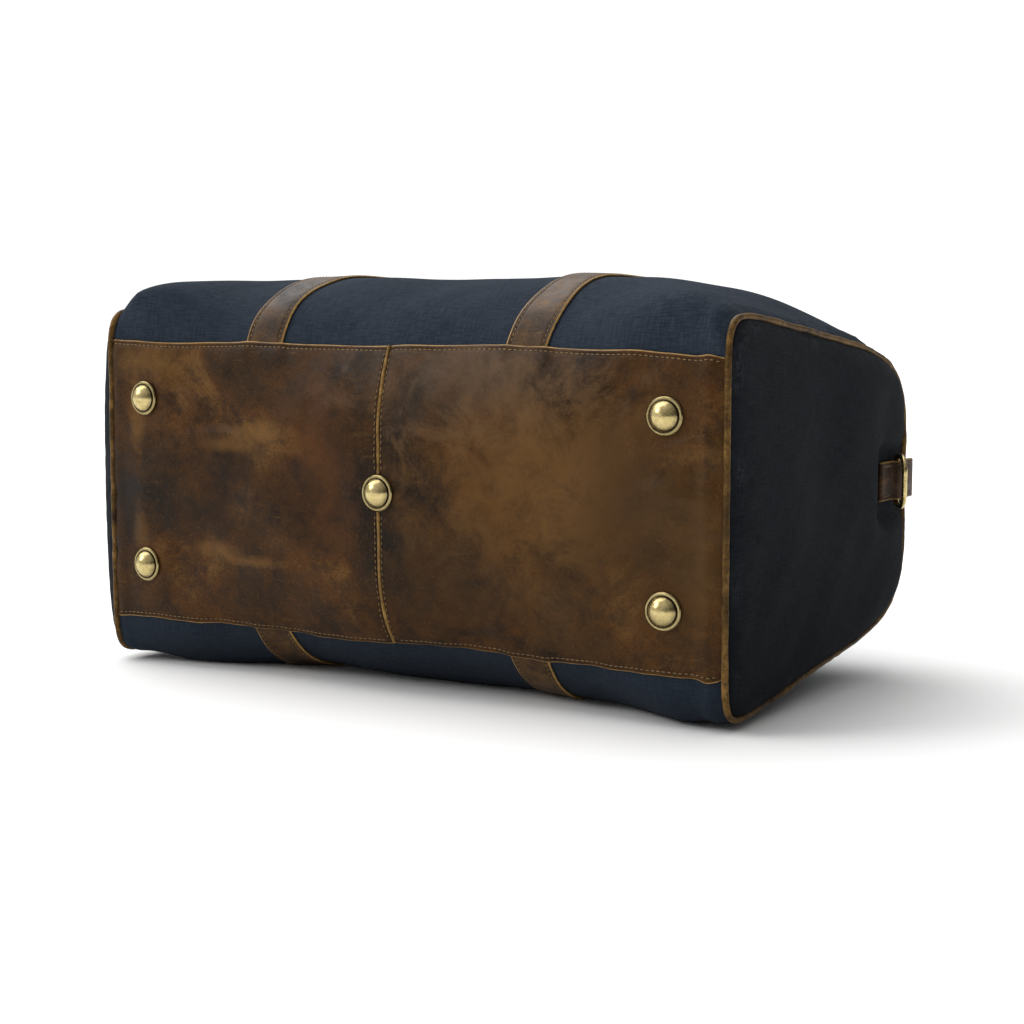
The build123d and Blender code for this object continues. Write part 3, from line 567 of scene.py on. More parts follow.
def leather_paint(name, deep, mid, rust, ochre, edge, seed=0.0, patches=10.0, shine=0.42):
    """Waxed pull-up leather: clouds of dark wax, rusty and ochre stretch marks, raw tan edges."""
    p = Paint(name, roughness=shine, Specular_IOR_Level=0.10)

    def stain(noise, start, end, start_share, end_share, tint):
        return p.mix(p.ramp(noise, (start, start_share), (end, end_share)), colour, tint)

    cloud = p.noise(patches, 7.0, 0.62, warp=0.9, shift=seed)
    colour = p.ramp(cloud, (0.33, deep), (0.45, mid), (0.56, rust), (0.72, ochre))
    cloudlets = p.noise(patches * 5.5, 6.0, 0.65, warp=0.5, shift=seed + 4)
    colour = stain(cloudlets, 0.38, 0.52, 0.62, 0.0, deep)
    streaks = p.noise(1.0, 5.0, 0.7, 0.6, p.stretched(p.place, (28, 28, 120)), seed + 2)
    colour = stain(streaks, 0.60, 0.80, 0.0, 0.45, ochre)
    scuffs = p.noise(1.0, 3.0, 0.7, 0.2, p.stretched(p.place, (60, 60, 620)), seed + 6)
    colour = stain(scuffs, 0.66, 0.78, 0.0, 0.30, edge)
    colour = stain(p.noise(520.0, 3.0, 0.75, shift=seed + 8), 0.34, 0.52, 0.6, 0.0, deep)
    colour = stain(p.noise(480.0, 3.0, 0.75, shift=seed + 9), 0.56, 0.72, 0.0, 0.35, ochre)
    raw = p.math("MULTIPLY", p.attribute("edge"), p.ramp(p.noise(160.0, 3.0), (0.25, 0.45), (0.6, 1.0)))
    colour = p.mix(raw, colour, edge)
    grain = p.cells(900.0)
    height = p.math("ADD", p.math("MULTIPLY", grain, 0.5), p.noise(1500.0, 2.0))
    normal = p.bump(height, 0.00012, 0.55)
    normal = p.bump(p.noise(75.0, 5.0, 0.6, warp=0.4, shift=seed), 0.0011, 0.35, normal)
    rough = p.ramp(cloudlets, (0.3, shine - 0.08), (0.7, shine + 0.16))
    return p, colour, rough, normal


FOOT_REACH = 16.0           # the foot's patina rings are given as shares of this radius


def brass_paint(name, middle=None, axis_squash=(1, 1, 1), rings=()):
    """Antique brass: worn bright on the high places, brown patina in the low ones."""
    p = Paint(name, roughness=0.34, Metallic=1.0)
    blotch = p.noise(260.0, 4.0, 0.6, warp=0.4)
    brown, worn, bright = (0.34, 0.255, 0.11), (0.54, 0.43, 0.19), (0.66, 0.54, 0.27)
    colour = p.ramp(blotch, (0.25, brown), (0.48, worn), (0.75, bright))
    rough = p.ramp(p.noise(420.0, 3.0), (0.3, 0.17), (0.7, 0.34))
    if middle is not None:
        out = p.math("DIVIDE", p.distance_to(middle, axis_squash), FOOT_REACH)
        colour = p.mix(p.ramp(out, *rings), colour, (0.045, 0.032, 0.018))
    normal = p.bump(p.noise(900.0, 3.0), 0.00006, 0.5)
    return p.finish(colour, rough, normal)


def plain_weave_paint(name, dark, light, pitch):
    """Close woven cloth: ribs both ways over soft clouds of tone."""
    p = Paint(name, roughness=0.8, Sheen_Weight=0.15)
    weave = p.weave(p.attribute("cloth", vector=True), pitch)
    tone = p.math("MULTIPLY_ADD", weave, 0.18, p.noise(40.0, 5.0, 0.6))
    return p.finish(p.ramp(tone, (0.3, dark), (0.7, light)), normal=p.bump(weave, 0.00025, 0.8))


NAVY_DARK, NAVY_LIGHT, NAVY_WORN = (0.009, 0.0135, 0.021), (0.030, 0.041, 0.058), (0.085, 0.10, 0.115)
# painted shade: the end panels get a darker copy of the navy canvas, standing in for the shade on the ends
# that face away from the key light
END_SHADED_DARK, END_SHADED_LIGHT, END_SHADED_WORN = (0.004, 0.005, 0.0068), (0.0150, 0.0178, 0.0218), (0.04, 0.044, 0.05)
canvas = canvas_paint("navy_canvas", NAVY_DARK, NAVY_LIGHT, NAVY_WORN)
end_canvas = canvas_paint("navy_end_canvas", END_SHADED_DARK, END_SHADED_LIGHT, END_SHADED_WORN)
DEEP, MID, RUST = (0.009, 0.0055, 0.003), (0.036, 0.0155, 0.0035), (0.070, 0.027, 0.0048)
OCHRE, RAW = (0.17, 0.085, 0.022), (0.42, 0.25, 0.08)


def base_paint():
    """The base's leather, with its own large dark, rusty and greyed dark regions, and a paler greyed patch
    that is painted sheen.
    """
    p, colour, rough, normal = leather_paint("base_leather", DEEP, MID, RUST, OCHRE, RAW, seed=1.3)
    streak = (0.20, 0.096, 0.024)
    # middle in millimetres, one over its reach along each axis, tint and strength
    regions = (
        ((165, -130, 140), (0.0062, 0.02, 0.0085), (0.078, 0.037, 0.0085), 0.85),
        ((-130, -130, 154), (0.021, 0.02, 0.030), DEEP, 0.80),
        ((-140, -130, 118), (0.018, 0.02, 0.030), DEEP, 0.70),
        ((-66, -130, 207), (0.030, 0.02, 0.038), DEEP, 0.50),
        ((-240, -125, 126), (0.050, 0.02, 0.020), (0.012, 0.011, 0.011), 0.80),
        ((-50, -130, 165), (0.022, 0.02, 0.010), (0.095, 0.034, 0.007), 0.70),
        ((-110, -130, 183), (0.030, 0.02, 0.110), streak, 0.55),
        ((-138, -130, 172), (0.034, 0.02, 0.150), streak, 0.45),
        ((-120, -130, 87), (0.028, 0.02, 0.170), streak, 0.60),
        ((-150, -130, 94), (0.040, 0.02, 0.140), streak, 0.45),
        ((-229, -125, 188), (0.100, 0.02, 0.024), streak, 0.50),
        ((-226, -125, 106), (0.100, 0.02, 0.040), streak, 0.40),
        ((-215, -125, 232), (0.017, 0.02, 0.050), OCHRE, 0.50),
        # painted sheen: this paler, greyed patch on the upper right of the leather stands in for the broad
        # reflection of the light
        ((75, -135, 222), (0.0080, 0.02, 0.022), (0.105, 0.066, 0.040), 0.80),
        ((140, -130, 165), (0.0085, 0.02, 0.014), (0.145, 0.068, 0.018), 0.70),
        ((205, -130, 150), (0.018, 0.02, 0.013), DEEP, 0.60),
        ((60, -135, 70), (0.014, 0.02, 0.018), (0.060, 0.027, 0.007), 0.60),
        ((246, -125, 100), (0.040, 0.02, 0.010), (0.070, 0.036, 0.010), 0.60),
    )
    breakup = p.noise(30.0, 8.0, 0.75, warp=0.8, shift=3.7)
    for middle, squash, tint, strength in regions:
        near = p.distance_to(middle, squash)
        ragged = p.math("ADD", near, p.math("MULTIPLY", p.math("SUBTRACT", breakup, 0.5), 3.0))
        colour = p.mix(p.ramp(ragged, (0.1, 0.8 * strength), (1.0, 0.0)), colour, tint)
    return p.finish(colour, rough, normal)


def leather(name, *tones, **look):
    p, colour, rough, normal = leather_paint(name, *tones, RAW, **look)
    return p.finish(colour, rough, normal)


STRAP_TONES = ((0.014, 0.007, 0.003), (0.050, 0.025, 0.010), (0.085, 0.043, 0.015), OCHRE)
HANDLE_TONES = (DEEP, MID, (0.10, 0.046, 0.018), OCHRE)
PIPING_TONES = ((0.024, 0.013, 0.004), (0.085, 0.045, 0.011), (0.155, 0.083, 0.021), (0.29, 0.165, 0.052))
WELT_TONES = ((0.04, 0.022, 0.006), (0.14, 0.075, 0.020), (0.24, 0.135, 0.035), (0.36, 0.21, 0.07))
TAB_TONES = (DEEP, (0.045, 0.024, 0.012), (0.08, 0.040, 0.018), OCHRE)
base_leather = base_paint()
strap_leather = leather("strap_leather", *STRAP_TONES, seed=6.1, patches=26.0)
handle_leather = leather("handle_leather", *HANDLE_TONES, seed=9.4, patches=18.0)
piping_leather = leather("piping_leather", *PIPING_TONES, seed=2.2, patches=40.0)
welt_leather = leather("welt_leather", *WELT_TONES, seed=4.2, patches=90.0)
tab_leather = leather("tab_leather", *TAB_TONES, seed=5.2, patches=30.0)


def thread_paint():
    """Waxed ochre sewing thread with its twist."""
    p = Paint("thread", roughness=0.6)
    twist = p.noise(1.0, 2.0, vector=p.stretched(p.place, (1500, 1500, 1500)))
    tone = p.ramp(p.noise(45.0, 3.0), (0.3, (0.15, 0.085, 0.022)), (0.7, (0.31, 0.18, 0.055)))
    colour = p.mix(p.ramp(twist, (0.35, 0.6), (0.6, 0.0)), tone, (0.07, 0.038, 0.012))
    return p.finish(colour, normal=p.bump(twist, 0.0002, 0.7))


def two_tone_paint(name, roughness, scale, detail, dark, light, grain=None):
    """Clouds of two tones, with a fine grain where asked."""
    p = Paint(name, roughness=roughness)
    normal = None if grain is None else p.bump(p.noise(grain, 2.0), 0.0002, 0.6)
    return p.finish(p.ramp(p.noise(scale, detail), (0.3, dark), (0.7, light)), normal=normal)


thread = thread_paint()
# painted shade: near-black colour for the needle holes, standing in for the shade inside them
needle_hole_shade = two_tone_paint("needle_hole_shade", 0.9, 300.0, 4.0, (0.006, 0.004, 0.003), (0.016, 0.010, 0.006))
SEWN = [thread, needle_hole_shade]
lining_cloth = plain_weave_paint("lining_cotton", (0.20, 0.165, 0.115), (0.34, 0.29, 0.21), LINING_PITCH)
tape_cloth = plain_weave_paint("zip_tape_cloth", (0.008, 0.010, 0.016), (0.026, 0.031, 0.045), TAPE_PITCH)
BOARD_DARK, BOARD_LIGHT = (0.05, 0.042, 0.034), (0.11, 0.092, 0.074)
board_cloth = two_tone_paint("base_board_cover", 0.8, 60.0, 5.0, BOARD_DARK, BOARD_LIGHT, grain=1200.0)
brass = brass_paint("antique_brass")

# ---- Camera, light and floor ----

cam_data = bpy.data.cameras.new("camera")
cam_data.lens = 70.3
cam_data.sensor_width = 36.0
camera = bpy.data.objects.new("camera", cam_data)
camera.location = (0.8069, -1.2621, 0.2797)
camera.rotation_euler = (radians(90 - 6.14), 0.0, radians(31.70))
bpy.context.scene.collection.objects.link(camera)
bpy.context.scene.camera = camera


def soft_sun(name, toward, strength, spread):
    """A wide, even light that travels along toward."""
    data = bpy.data.lights.new(name, "SUN")
    data.energy = strength
    data.angle = spread
    light = bpy.data.objects.new(name, data)
    light.rotation_euler = Vector(toward).to_track_quat("-Z", "Y").to_euler()
    bpy.context.scene.collection.objects.link(light)


soft_sun("key_from_above", (0.60, -0.25, -1.0), 2.7, 1.2)
soft_sun("front_from_the_left", (0.80, 0.62, -0.60), 0.8, 0.4)

world = bpy.data.worlds.new("studio")
world.use_nodes = True
studio = world.node_tree.nodes
backdrop, fill = studio["Background"], studio.new("ShaderNodeBackground")
for light, strength in ((backdrop, 1.1), (fill, 1.0)):
    light.inputs["Color"].default_value = (1, 1, 1, 1)
    light.inputs["Strength"].default_value = strength
way, seen = studio.new("ShaderNodeTexCoord"), studio.new("ShaderNodeLightPath")
slope, fade = studio.new("ShaderNodeVectorMath"), studio.new("ShaderNodeMapRange")
blend = studio.new("ShaderNodeMixShader")
slope.operation = "DOT_PRODUCT"
slope.inputs[1].default_value = (-0.62, 0.0, 0.78)
for limit, value in (("From Min", -0.3), ("From Max", 1.0), ("To Min", 0.10), ("To Max", 0.95)):
    fade.inputs[limit].default_value = value
for source, socket in (
    (way.outputs["Generated"], slope.inputs[0]),
    (slope.outputs["Value"], fade.inputs["Value"]),
    (fade.outputs["Result"], fill.inputs["Strength"]),
    (seen.outputs["Is Camera Ray"], blend.inputs[0]),
    (fill.outputs[0], blend.inputs[1]),
    (backdrop.outputs[0], blend.inputs[2]),
    (blend.outputs[0], studio["World Output"].inputs["Surface"]),
):
    world.node_tree.links.new(source, socket)
bpy.context.scene.world = world
bpy.context.scene.view_settings.view_transform = "Standard"

floor_mesh = bpy.data.meshes.new("floor")
floor_mesh.from_pydata([(-12, -12, 0), (12, -12, 0), (12, 12, 0), (-12, 12, 0)], [], [(0, 1, 2, 3)])
floor = bpy.data.objects.new("floor", floor_mesh)
bpy.context.scene.collection.objects.link(floor)
floor_paint = Paint("pale_floor", roughness=0.9)
floor_mesh.materials.append(floor_paint.finish((0.93, 0.93, 0.925)))
floor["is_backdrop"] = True

# ---- Canvas panels ----

INSIDE = (0.0, 30.0, 141.0)
END_MARKS = (253.0, 257.0, 258.6, 259.6, 260.4)
SEAM_INSET = {"left": 4.2, "right": -1.8}   # how far the end seam lies inside the CAD's
END_MIDDLE = np.array([BODY_HALF, 32.0, 137.5])
END_PROUD = 2.5             # the end panel's face past the body's last section
TAB_Y, TAB_Z = 163.0, 143.0
LINING_FLOOR = 5.2
PIPE_X = BODY_HALF + 1.0
near_marks = [SEAM_INSET["left"] - v for v in END_MARKS[::-1]]
seam_marks = near_marks + [-SLOT_X, -MOUTH_X, MOUTH_X, SLOT_X] + list(END_MARKS)
canvas_x = stations(seam_marks, 3.6)


def closed(centres):
    """True for faces that close the bag, False in the mouth and in the zip's slots."""
    x, y, z = np.abs(centres[:, 0]), centres[:, 1], np.abs(centres[:, 2] - MID_Z)
    top = y > 150
    return ~(top & ((x < MOUTH_X) & (z < MOUTH_Z) | (x < SLOT_X) & (z < SLOT_Z)))


def past_slots(centres):
    """True for faces of the lining beyond the zip's slots."""
    return np.abs(centres[:, 0]) > SLOT_X


def wear_at(p):
    """Pale rubbed places on the canvas: along the end seams and at the corners."""
    to_end = BODY_HALF - np.abs(p[..., 0])
    amount = 0.5 * bell(to_end - 4, 5) * smooth(0.2, 1.4, wander(p, 31, 60))
    return np.clip(amount + 0.35 * smooth(1.5, 2.4, wander(p, 32, 70)), 0, 1)


for side, sign in SIDES:
    x = canvas_x
    start, run = angle_where(x, Z, MID_Z, *BASE_SIDE), 0.0
    blocks, lengths = [], []
    for level, pitch in ((MOUTH_Z, 3.6), (SLOT_Z, 5.5), (0.0, 5.0)):
        end = angle_where(x, Z, MID_Z + sign * level, *TOP_SIDE[sign])
        angles, arcs = rows_between(x, start, end, pitch)
        shared = 1 if blocks else 0
        blocks.append(angles[:, shared:])
        lengths.append((arcs + run)[:, shared:])
        start, run = end, run + arcs[:, -1:]
    angles, lengths = np.concatenate(blocks, axis=1), np.concatenate(lengths, axis=1)
    floor_z = 0.3 + 2.0 * (1 - smooth(0, 9, np.abs(np.abs(x) - STRAP_X) - STRAP_HALF))[:, None]
    points = skin(x[:, None], angles, 0.0, floor_z)
    cloth = on_cloth(spread(x, angles), lengths)
    shape = Mesh()
    shape.grid(points, keep=closed, outward=INSIDE, cloth=cloth, wear=wear_at(points))
    piece(f"canvas_{side}", shape, canvas, "bag", "canvas", [f"{side}_panel"], thick=2.6)
    # the seam allowance under the gusset's hinged edge, which closes the slit when the gusset opens
    x = stations((1.0 - MOUTH_X, MOUTH_X - 1.0), 5.0)
    levels = [MOUTH_Z + step for step in (1.0, 0.0, -3.0, -7.0, -11.0, -15.0)]
    angles = np.stack([angle_where(x, Z, MID_Z + sign * level, *TOP_SIDE[sign]) for level in levels], axis=1)
    wide_x = spread(x, angles)
    shape = Mesh()
    shape.grid(outline(wide_x, angles, -4.2), outward=INSIDE, cloth=on_cloth(wide_x, levels), wear=0.0)
    piece(f"mouth_facing_{side}", shape, canvas, "bag", "canvas", thick=0.9)

# ---- Base leather, its welt and their stitching ----

# middle x and z, reach along and across, lean in degrees, and height of each fold
CREASES = (
    (-168, 186, 46, 6, 8, -1.1), (-120, 176, 38, 5, -12, 0.9), (-205, 170, 30, 6, 30, -0.9),
    (-92, 96, 44, 4.5, 4, -1.2), (-88, 88, 42, 5, 6, 0.9), (-150, 120, 50, 9, -10, -1.0),
    (-190, 215, 34, 5, -6, -0.8), (-60, 200, 40, 8, 60, -0.7), (-40, 60, 36, 7, 12, 0.8),
    (95, 205, 70, 16, 10, -0.9), (60, 95, 60, 12, -20, -0.8), (160, 130, 60, 18, 70, 0.9),
    (228, 170, 34, 7, 6, -2.0), (230, 184, 30, 8, 4, 2.0), (232, 152, 30, 8, -9, 2.4),
    (226, 120, 34, 8, 12, -1.8),
    (228, 105, 30, 8, 10, 1.6), (205, 70, 36, 6, 20, -0.8),
    (236, 215, 22, 5, 60, 0.8), (150, 60, 60, 8, 6, -0.7), (-236, 100, 40, 6, 84, -0.8),
)


def creases(x, z):
    """Folds and stretch lines of the base leather."""
    total = np.zeros(np.broadcast(x, z).shape)
    for middle_x, middle_z, length, width, lean, depth in CREASES:
        c, s = cos(radians(lean)), sin(radians(lean))
        along = ((x - middle_x) * c + (z - middle_z) * s) / length
        across = (-(x - middle_x) * s + (z - middle_z) * c) / width
        bend = across + 0.8 * along ** 2
        total = total + depth * np.exp(-along ** 2 - bend ** 2)
    foot_gap = np.min([np.hypot(x - f[0], z - f[2]) for f in FEET], axis=0)
    return np.maximum(total, -1.5) * smooth(13, 26, foot_gap)


def leather_edge(x, sign):
    """Height at which the base leather is cut: nearly straight, with the knife's small wander."""
    line = np.stack([x, 0 * x, 0 * x], axis=-1)
    droop = 4.5 * smooth(195, 256, x) if sign > 0 else 0.0
    return MID_Z + sign * (BASE_LEATHER_HALF + 0.45 * wander(line, 41 + sign, 120)) - droop


def leather_top(x, angle, from_edge, raised=0.0):
    """Top face of the base leather, from_edge inside its cut edges."""
    flat = outline(x, angle)
    z = flat[..., 2]
    grow = LEATHER + creases(x, z) + raised
    grow = grow - 0.75 * bell(from_edge, 0.8)
    grow = grow - 0.45 * bell(from_edge - STITCH_INSET, 0.9)
    over_strap = 1 - smooth(14, 25, np.abs(np.abs(x) - STRAP_X))
    grow = grow + over_strap * (1 - smooth(6, 24, from_edge))
    grow = grow - 0.7 * bell(x, 2.6)
    grow = grow + 0.3 * wander(flat, 43, 26) * np.exp(-from_edge / 10)
    inset = np.where(x < 0, SEAM_INSET["left"], SEAM_INSET["right"])
    grow = grow - 1.3 * bell(PIPE_X - inset - np.abs(x), 3.2)
    return skin(x, angle, grow)


MID_LEATHER = 20.0          # a gap that is far from every cut edge
sewing = Mesh()
for hand, turn in HANDS:
    marks = [1.2, 1.8, 2.6, 3.6, 4.8, 7.0] + [v - SEAM_INSET[hand] - 1.5 for v in END_MARKS]
    x = turn * stations(marks, 2.7)
    low, high = leather_edge(x, -1), leather_edge(x, 1)
    first, last = angle_where(x, Z, high, *BASE_SIDE), angle_where(x, Z, low, *BASE_SIDE)
    angles, arcs = rows_between(x, first, last, 2.6, EDGE_ROWS)
    from_edge = edge_gap(arcs)
    shape = Mesh()
    shape.grid(leather_top(spread(x, angles), angles, from_edge), outward=INSIDE, edge=cut_edge(from_edge))
    replaced = [f"base_leather_{hand}"]
    piece(f"base_leather_{hand}_half", shape, base_leather, "bag", "base_leather", replaced, thick=1.8)
    for sign in (-1, 1):
        x = turn * np.linspace(5.5, 255.5 - SEAM_INSET[hand], 240)
        angle = angle_where(x, Z, leather_edge(x, sign) - sign * STITCH_INSET, *BASE_SIDE)
        sew(sewing, leather_top, x, angle, STITCH_INSET, 0.22, seed=50 + sign + 3 * turn)
    for sign in (-1, 1):
        z = MID_Z + sign * np.linspace(15.0 + 3.0 * sign, BASE_LEATHER_HALF - 4.5, 120)
        x = np.full(z.shape, turn * 2.8)
        look = {"pitch": 4.4, "length": 2.5, "radius": 0.36, "seed": 60 + sign + 3 * turn}
        sew(sewing, leather_top, x, angle_where(x, Z, z, *BASE_SIDE), MID_LEATHER, 0.2, **look)
piece("base_stitching", sewing, SEWN, "bag", "welt_leather")

shape = Mesh()
for sign in (-1, 1):
    z = MID_Z + sign * np.linspace(13.1 + 3.0 * sign, BASE_LEATHER_HALF - 0.6, 150)
    line = np.stack([0 * z, 0 * z, z], axis=-1)
    sway = 0.45 * wander(line, 47, 40)
    angle = angle_where(sway, Z, z, *BASE_SIDE)
    top = leather_top(sway, angle, np.full(z.shape, MID_LEATHER), 0.15)
    up = unit(leather_top(sway, angle, np.full(z.shape, MID_LEATHER), 1.15) - top)
    along = unit(np.gradient(top, axis=0))
    across = unit(np.cross(along, up))
    thickness = 1.0 + 0.10 * wander(line, 48, 14) + 0.07 * wander(line, 49, 4)
    shape.tube(top, across, up, 1.25 * thickness, 0.95 * thickness, corner=2.4, sides=14, edge=0.2)
piece("seam_welt", shape, welt_leather, "bag", "welt_leather", ["base_seam_welt"])

# ---- Straps with their folded ends ----


def strap_top(x, angle, from_edge, layer):
    """Top face of a strap's layer, layer above the canvas."""
    grow = layer - 0.6 * bell(from_edge, 0.7)
    grow = grow - 0.4 * bell(from_edge - STITCH_INSET, 0.8)
    return skin(x, angle, grow, 0.05)


strap_columns = stations([0.0, 0.35, 0.8, 1.4, 2.2, 2.9, 3.4, 3.9, 4.6, 6.5, STRAP_HALF], 3.7)
strap_columns = np.concatenate([strap_columns - STRAP_HALF, (STRAP_HALF - strap_columns)[::-1][1:]])
BOX_HALF, BOX_NEAR, BOX_FAR = 12.6, 15.0, 27.5      # the box of stitches on a folded end
for side, sign in SIDES:
    hinge_y, hinge_z = HINGE[side]
    face = (0.0, pi / 2) if sign > 0 else (3 * pi / 2, tau)
    for hand, turn in HANDS:
        strap_x = turn * STRAP_X
        x = strap_x + strap_columns
        from_edge = (STRAP_HALF - np.abs(strap_columns))[:, None]
        first = angle_where(x, Z, MID_Z + sign * (BASE_LEATHER_HALF - 7), *BASE_SIDE)
        angles, arcs = rows_between(x, first, angle_where(x, Y, hinge_y - 3.0, *face), 3.4)
        points = strap_top(spread(x, angles), angles, from_edge, 1.7 + 0.3 * smooth(0, 9, arcs))
        shape = Mesh()
        shape.grid(points, outward=INSIDE, edge=np.broadcast_to(cut_edge(from_edge), angles.shape))
        look = (strap_leather, "bag", "strap_leather")
        piece(f"strap_band_{side}_{hand}", shape, *look, [f"strap_{side}_{hand}"], thick=1.6)

        first, last = (angle_where(x, Y, hinge_y - back, *face) for back in (30.0, 0.3))
        angles, arcs = rows_between(x, first, last, 2.4, (0.0, 0.4, 1.0))
        wide_x = spread(x, angles)
        climb = 4.1 * smooth(hinge_y - 13, hinge_y - 0.5, outline(wide_x, angles)[..., Y])
        from_edge = np.minimum(from_edge, arcs)
        shape = Mesh()
        points = strap_top(wide_x, angles, from_edge, 3.95 + climb)
        shape.grid(points, outward=INSIDE, edge=cut_edge(from_edge, 0.75, 1.25))
        piece(f"strap_fold_{side}_{hand}", shape, *look, thick=1.7)

        shape = Mesh()
        circle = ring_of(40)
        across_x = strap_x + np.array([-16, -15.6, -14.9, 0, 14.9, 15.6, 16])
        sizes = np.array([3.2, 3.75, 4.05, 4.05, 4.05, 3.75, 3.2])
        hollow = np.array([3.2, 2.4, 2.15, 2.15, 2.15, 2.4, 3.2])
        profile_x = np.concatenate([across_x, across_x[::-1][1:-1]])
        profile_r = np.concatenate([sizes, hollow[::-1][1:-1]])
        ring = np.zeros((len(profile_x), len(circle), 3))
        ring[..., 0] = profile_x[:, None]
        ring[..., Y] = hinge_y + profile_r[:, None] * np.cos(circle)
        ring[..., Z] = np.maximum(hinge_z + profile_r[:, None] * np.sin(circle), 0.05)
        rim = np.broadcast_to((profile_r < 3.3)[:, None] * 0.6, ring.shape[:2])
        shape.grid(ring, wrap_rows=True, wrap_columns=True, edge=rim)
        piece(f"strap_loop_{side}_{hand}", shape, *look)

        shape = Mesh()
        for edge_side in (-1, 1):
            x = np.full(140, strap_x + edge_side * (STRAP_HALF - STITCH_INSET))
            first = angle_where(x, Z, MID_Z + sign * (BASE_LEATHER_HALF + 2.5), *BASE_SIDE)
            last = angle_where(x, Y, hinge_y - 31.5, *face)
            angle = first + (last - first) * np.linspace(0, 1, 140)
            lowest = 1.2 if sign < 0 else -np.inf
            sew(shape, strap_top, x, angle, STITCH_INSET, 2.2, lowest, seed=70 + edge_side)
        if sign > 0:
            wide, tall = np.linspace(-BOX_HALF, BOX_HALF, 30), np.linspace(BOX_FAR, BOX_NEAR, 20)
            box = [(strap_x + wide, hinge_y - back) for back in (BOX_FAR, BOX_NEAR)]
            box += [(np.full(20, strap_x + out), hinge_y - tall) for out in (-BOX_HALF, BOX_HALF)]
            for x, y in box:
                sew(shape, strap_top, x, angle_where(x, Y, y, *face), 9.0, 4.15)
        piece(f"strap_stitching_{side}_{hand}", shape, SEWN, "bag", "strap_leather")

# ---- Piping and end panels ----

for hand, turn in HANDS:
    fine = np.linspace(0, tau, 4001)
    run = arc_run(outline(BODY_HALF, fine))
    angle = np.interp(np.linspace(0, run[-1], 520, endpoint=False), run, fine)
    plain = outline(BODY_HALF, angle)
    sway = 0.35 * wander(plain, 81 + turn, 60) + 0.2 * wander(plain, 83 + turn, 22)
    y, z = plain[:, Y], plain[:, Z]
    lift = 0.1 + 1.3 * (1 - smooth(-125, -95, y))
    if turn < 0:
        lift = lift + 1.6 * smooth(MID_Z + 70, MID_Z + 115, z) * (1 - smooth(-60, 40, y))
    route = outline(BODY_HALF, angle, lift + 0.6 * sway)
    route[:, 0] = turn * (PIPE_X - SEAM_INSET[hand] + 0.5 * sway)
    held_up(route, 2.7)
    along = unit(np.roll(route, -1, axis=0) - np.roll(route, 1, axis=0))
    across = np.broadcast_to(np.array([1.0, 0, 0]), route.shape)
    up = unit(np.cross(along, across))
    swell = 1 + 0.055 * wander(plain, 85 + turn, 16) + 0.03 * wander(plain, 87 + turn, 6)
    overlap = np.hypot(plain[:, Y] + 112, plain[:, Z] - 240)
    radius = CORD_RADIUS * (swell + 0.16 * (1 - smooth(6, 8, overlap)))
    shape = Mesh()
    shape.tube(route, across, up, radius, radius, sides=16, capped=False, edge=0.0)
    piece(f"corded_piping_{hand}", shape, piping_leather, "bag", "piping_leather", [f"piping_{hand}"])

    rays = angle[::2]
    shares = np.concatenate([np.linspace(0.04, 0.90, 40), [0.93, 0.955, 0.975, 0.99, 1.0]])
    rim = outline(BODY_HALF, rays, -1.2)
    points = END_MIDDLE + (rim - END_MIDDLE) * shares[:, None, None]
    y, z = points[..., Y], points[..., Z]
    from_rim = (1 - shares[:, None]) * np.linalg.norm(rim - END_MIDDLE, axis=1)
    steep = 3.6 if turn < 0 else 6.5
    bulge = (8.0 + 3.0 * smooth(-20, 110, y)) * (1 - np.exp(-from_rim / steep))
    bulge = bulge + 2.0 * smooth(10, 80, from_rim) - 1.0
    loose = 1.6 * wander(points, 91 + turn, 120) + 0.45 * wander(points, 93, 45)
    bulge = bulge + loose * smooth(3, 35, from_rim)
    lean = (y - 60) * 0.62 + (z - 120) * 0.78
    bulge = bulge - 1.5 * bell(lean, 26) * smooth(20, 60, from_rim)
    bulge = bulge + 0.6 * wander(points, 95, 19) * np.exp(-from_rim / 9) * smooth(0, 3, from_rim)
    if turn < 0:
        belly = (0.9 - ((z - END_MIDDLE[Z]) / 132) ** 2) * (1 - smooth(-60, 60, y))
        bulge = bulge + 9.0 * belly * (1 - np.exp(-from_rim / 4))
    bulge = bulge - SEAM_INSET[hand] * np.exp(-from_rim / 3.5)
    tab_gap = np.abs(z - TAB_Z)
    bulge = bulge * (1 - 0.4 * (1 - smooth(30, 85, tab_gap)) * smooth(95, 140, y))
    near_tab = (1 - smooth(21, 36, tab_gap)) * smooth(110, 134, y)
    bulge = bulge * (1 - near_tab) - 0.3 * near_tab
    points[..., 0] = turn * (BODY_HALF + END_PROUD + bulge)
    rubbed = 0.5 * bell(from_rim - 7, 6) * smooth(0.0, 1.2, wander(points, 97, 50))
    shape = Mesh()
    shape.grid(points, wrap_columns=True, cloth=on_cloth(y, z), wear=np.clip(rubbed, 0, 1))
    hub = points[0].mean(axis=0)
    shape.add([hub], [], cloth=[[hub[Y], hub[Z], 0]])
    shape.faces += [[shape.count - 1, k, (k + 1) % len(rays)] for k in range(len(rays))]
    shape.inks += [0] * len(rays)
    placed = np.concatenate(shape.points)
    for sample in (shape.faces[0], shape.faces[-1]):
        a, b, c = (placed[v] for v in sample[:3])
        if np.cross(b - a, c - a)[0] * turn < 0:
            shape.faces = [face[::-1] if len(face) == len(sample) else face for face in shape.faces]
    # the end panel takes the darker canvas copy, which is painted shade
    piece(f"canvas_end_{hand}", shape, end_canvas, "bag", "end_canvas", [f"end_panel_{hand}"], thick=1.6)

# ---- Tabs that hold the dee rings ----


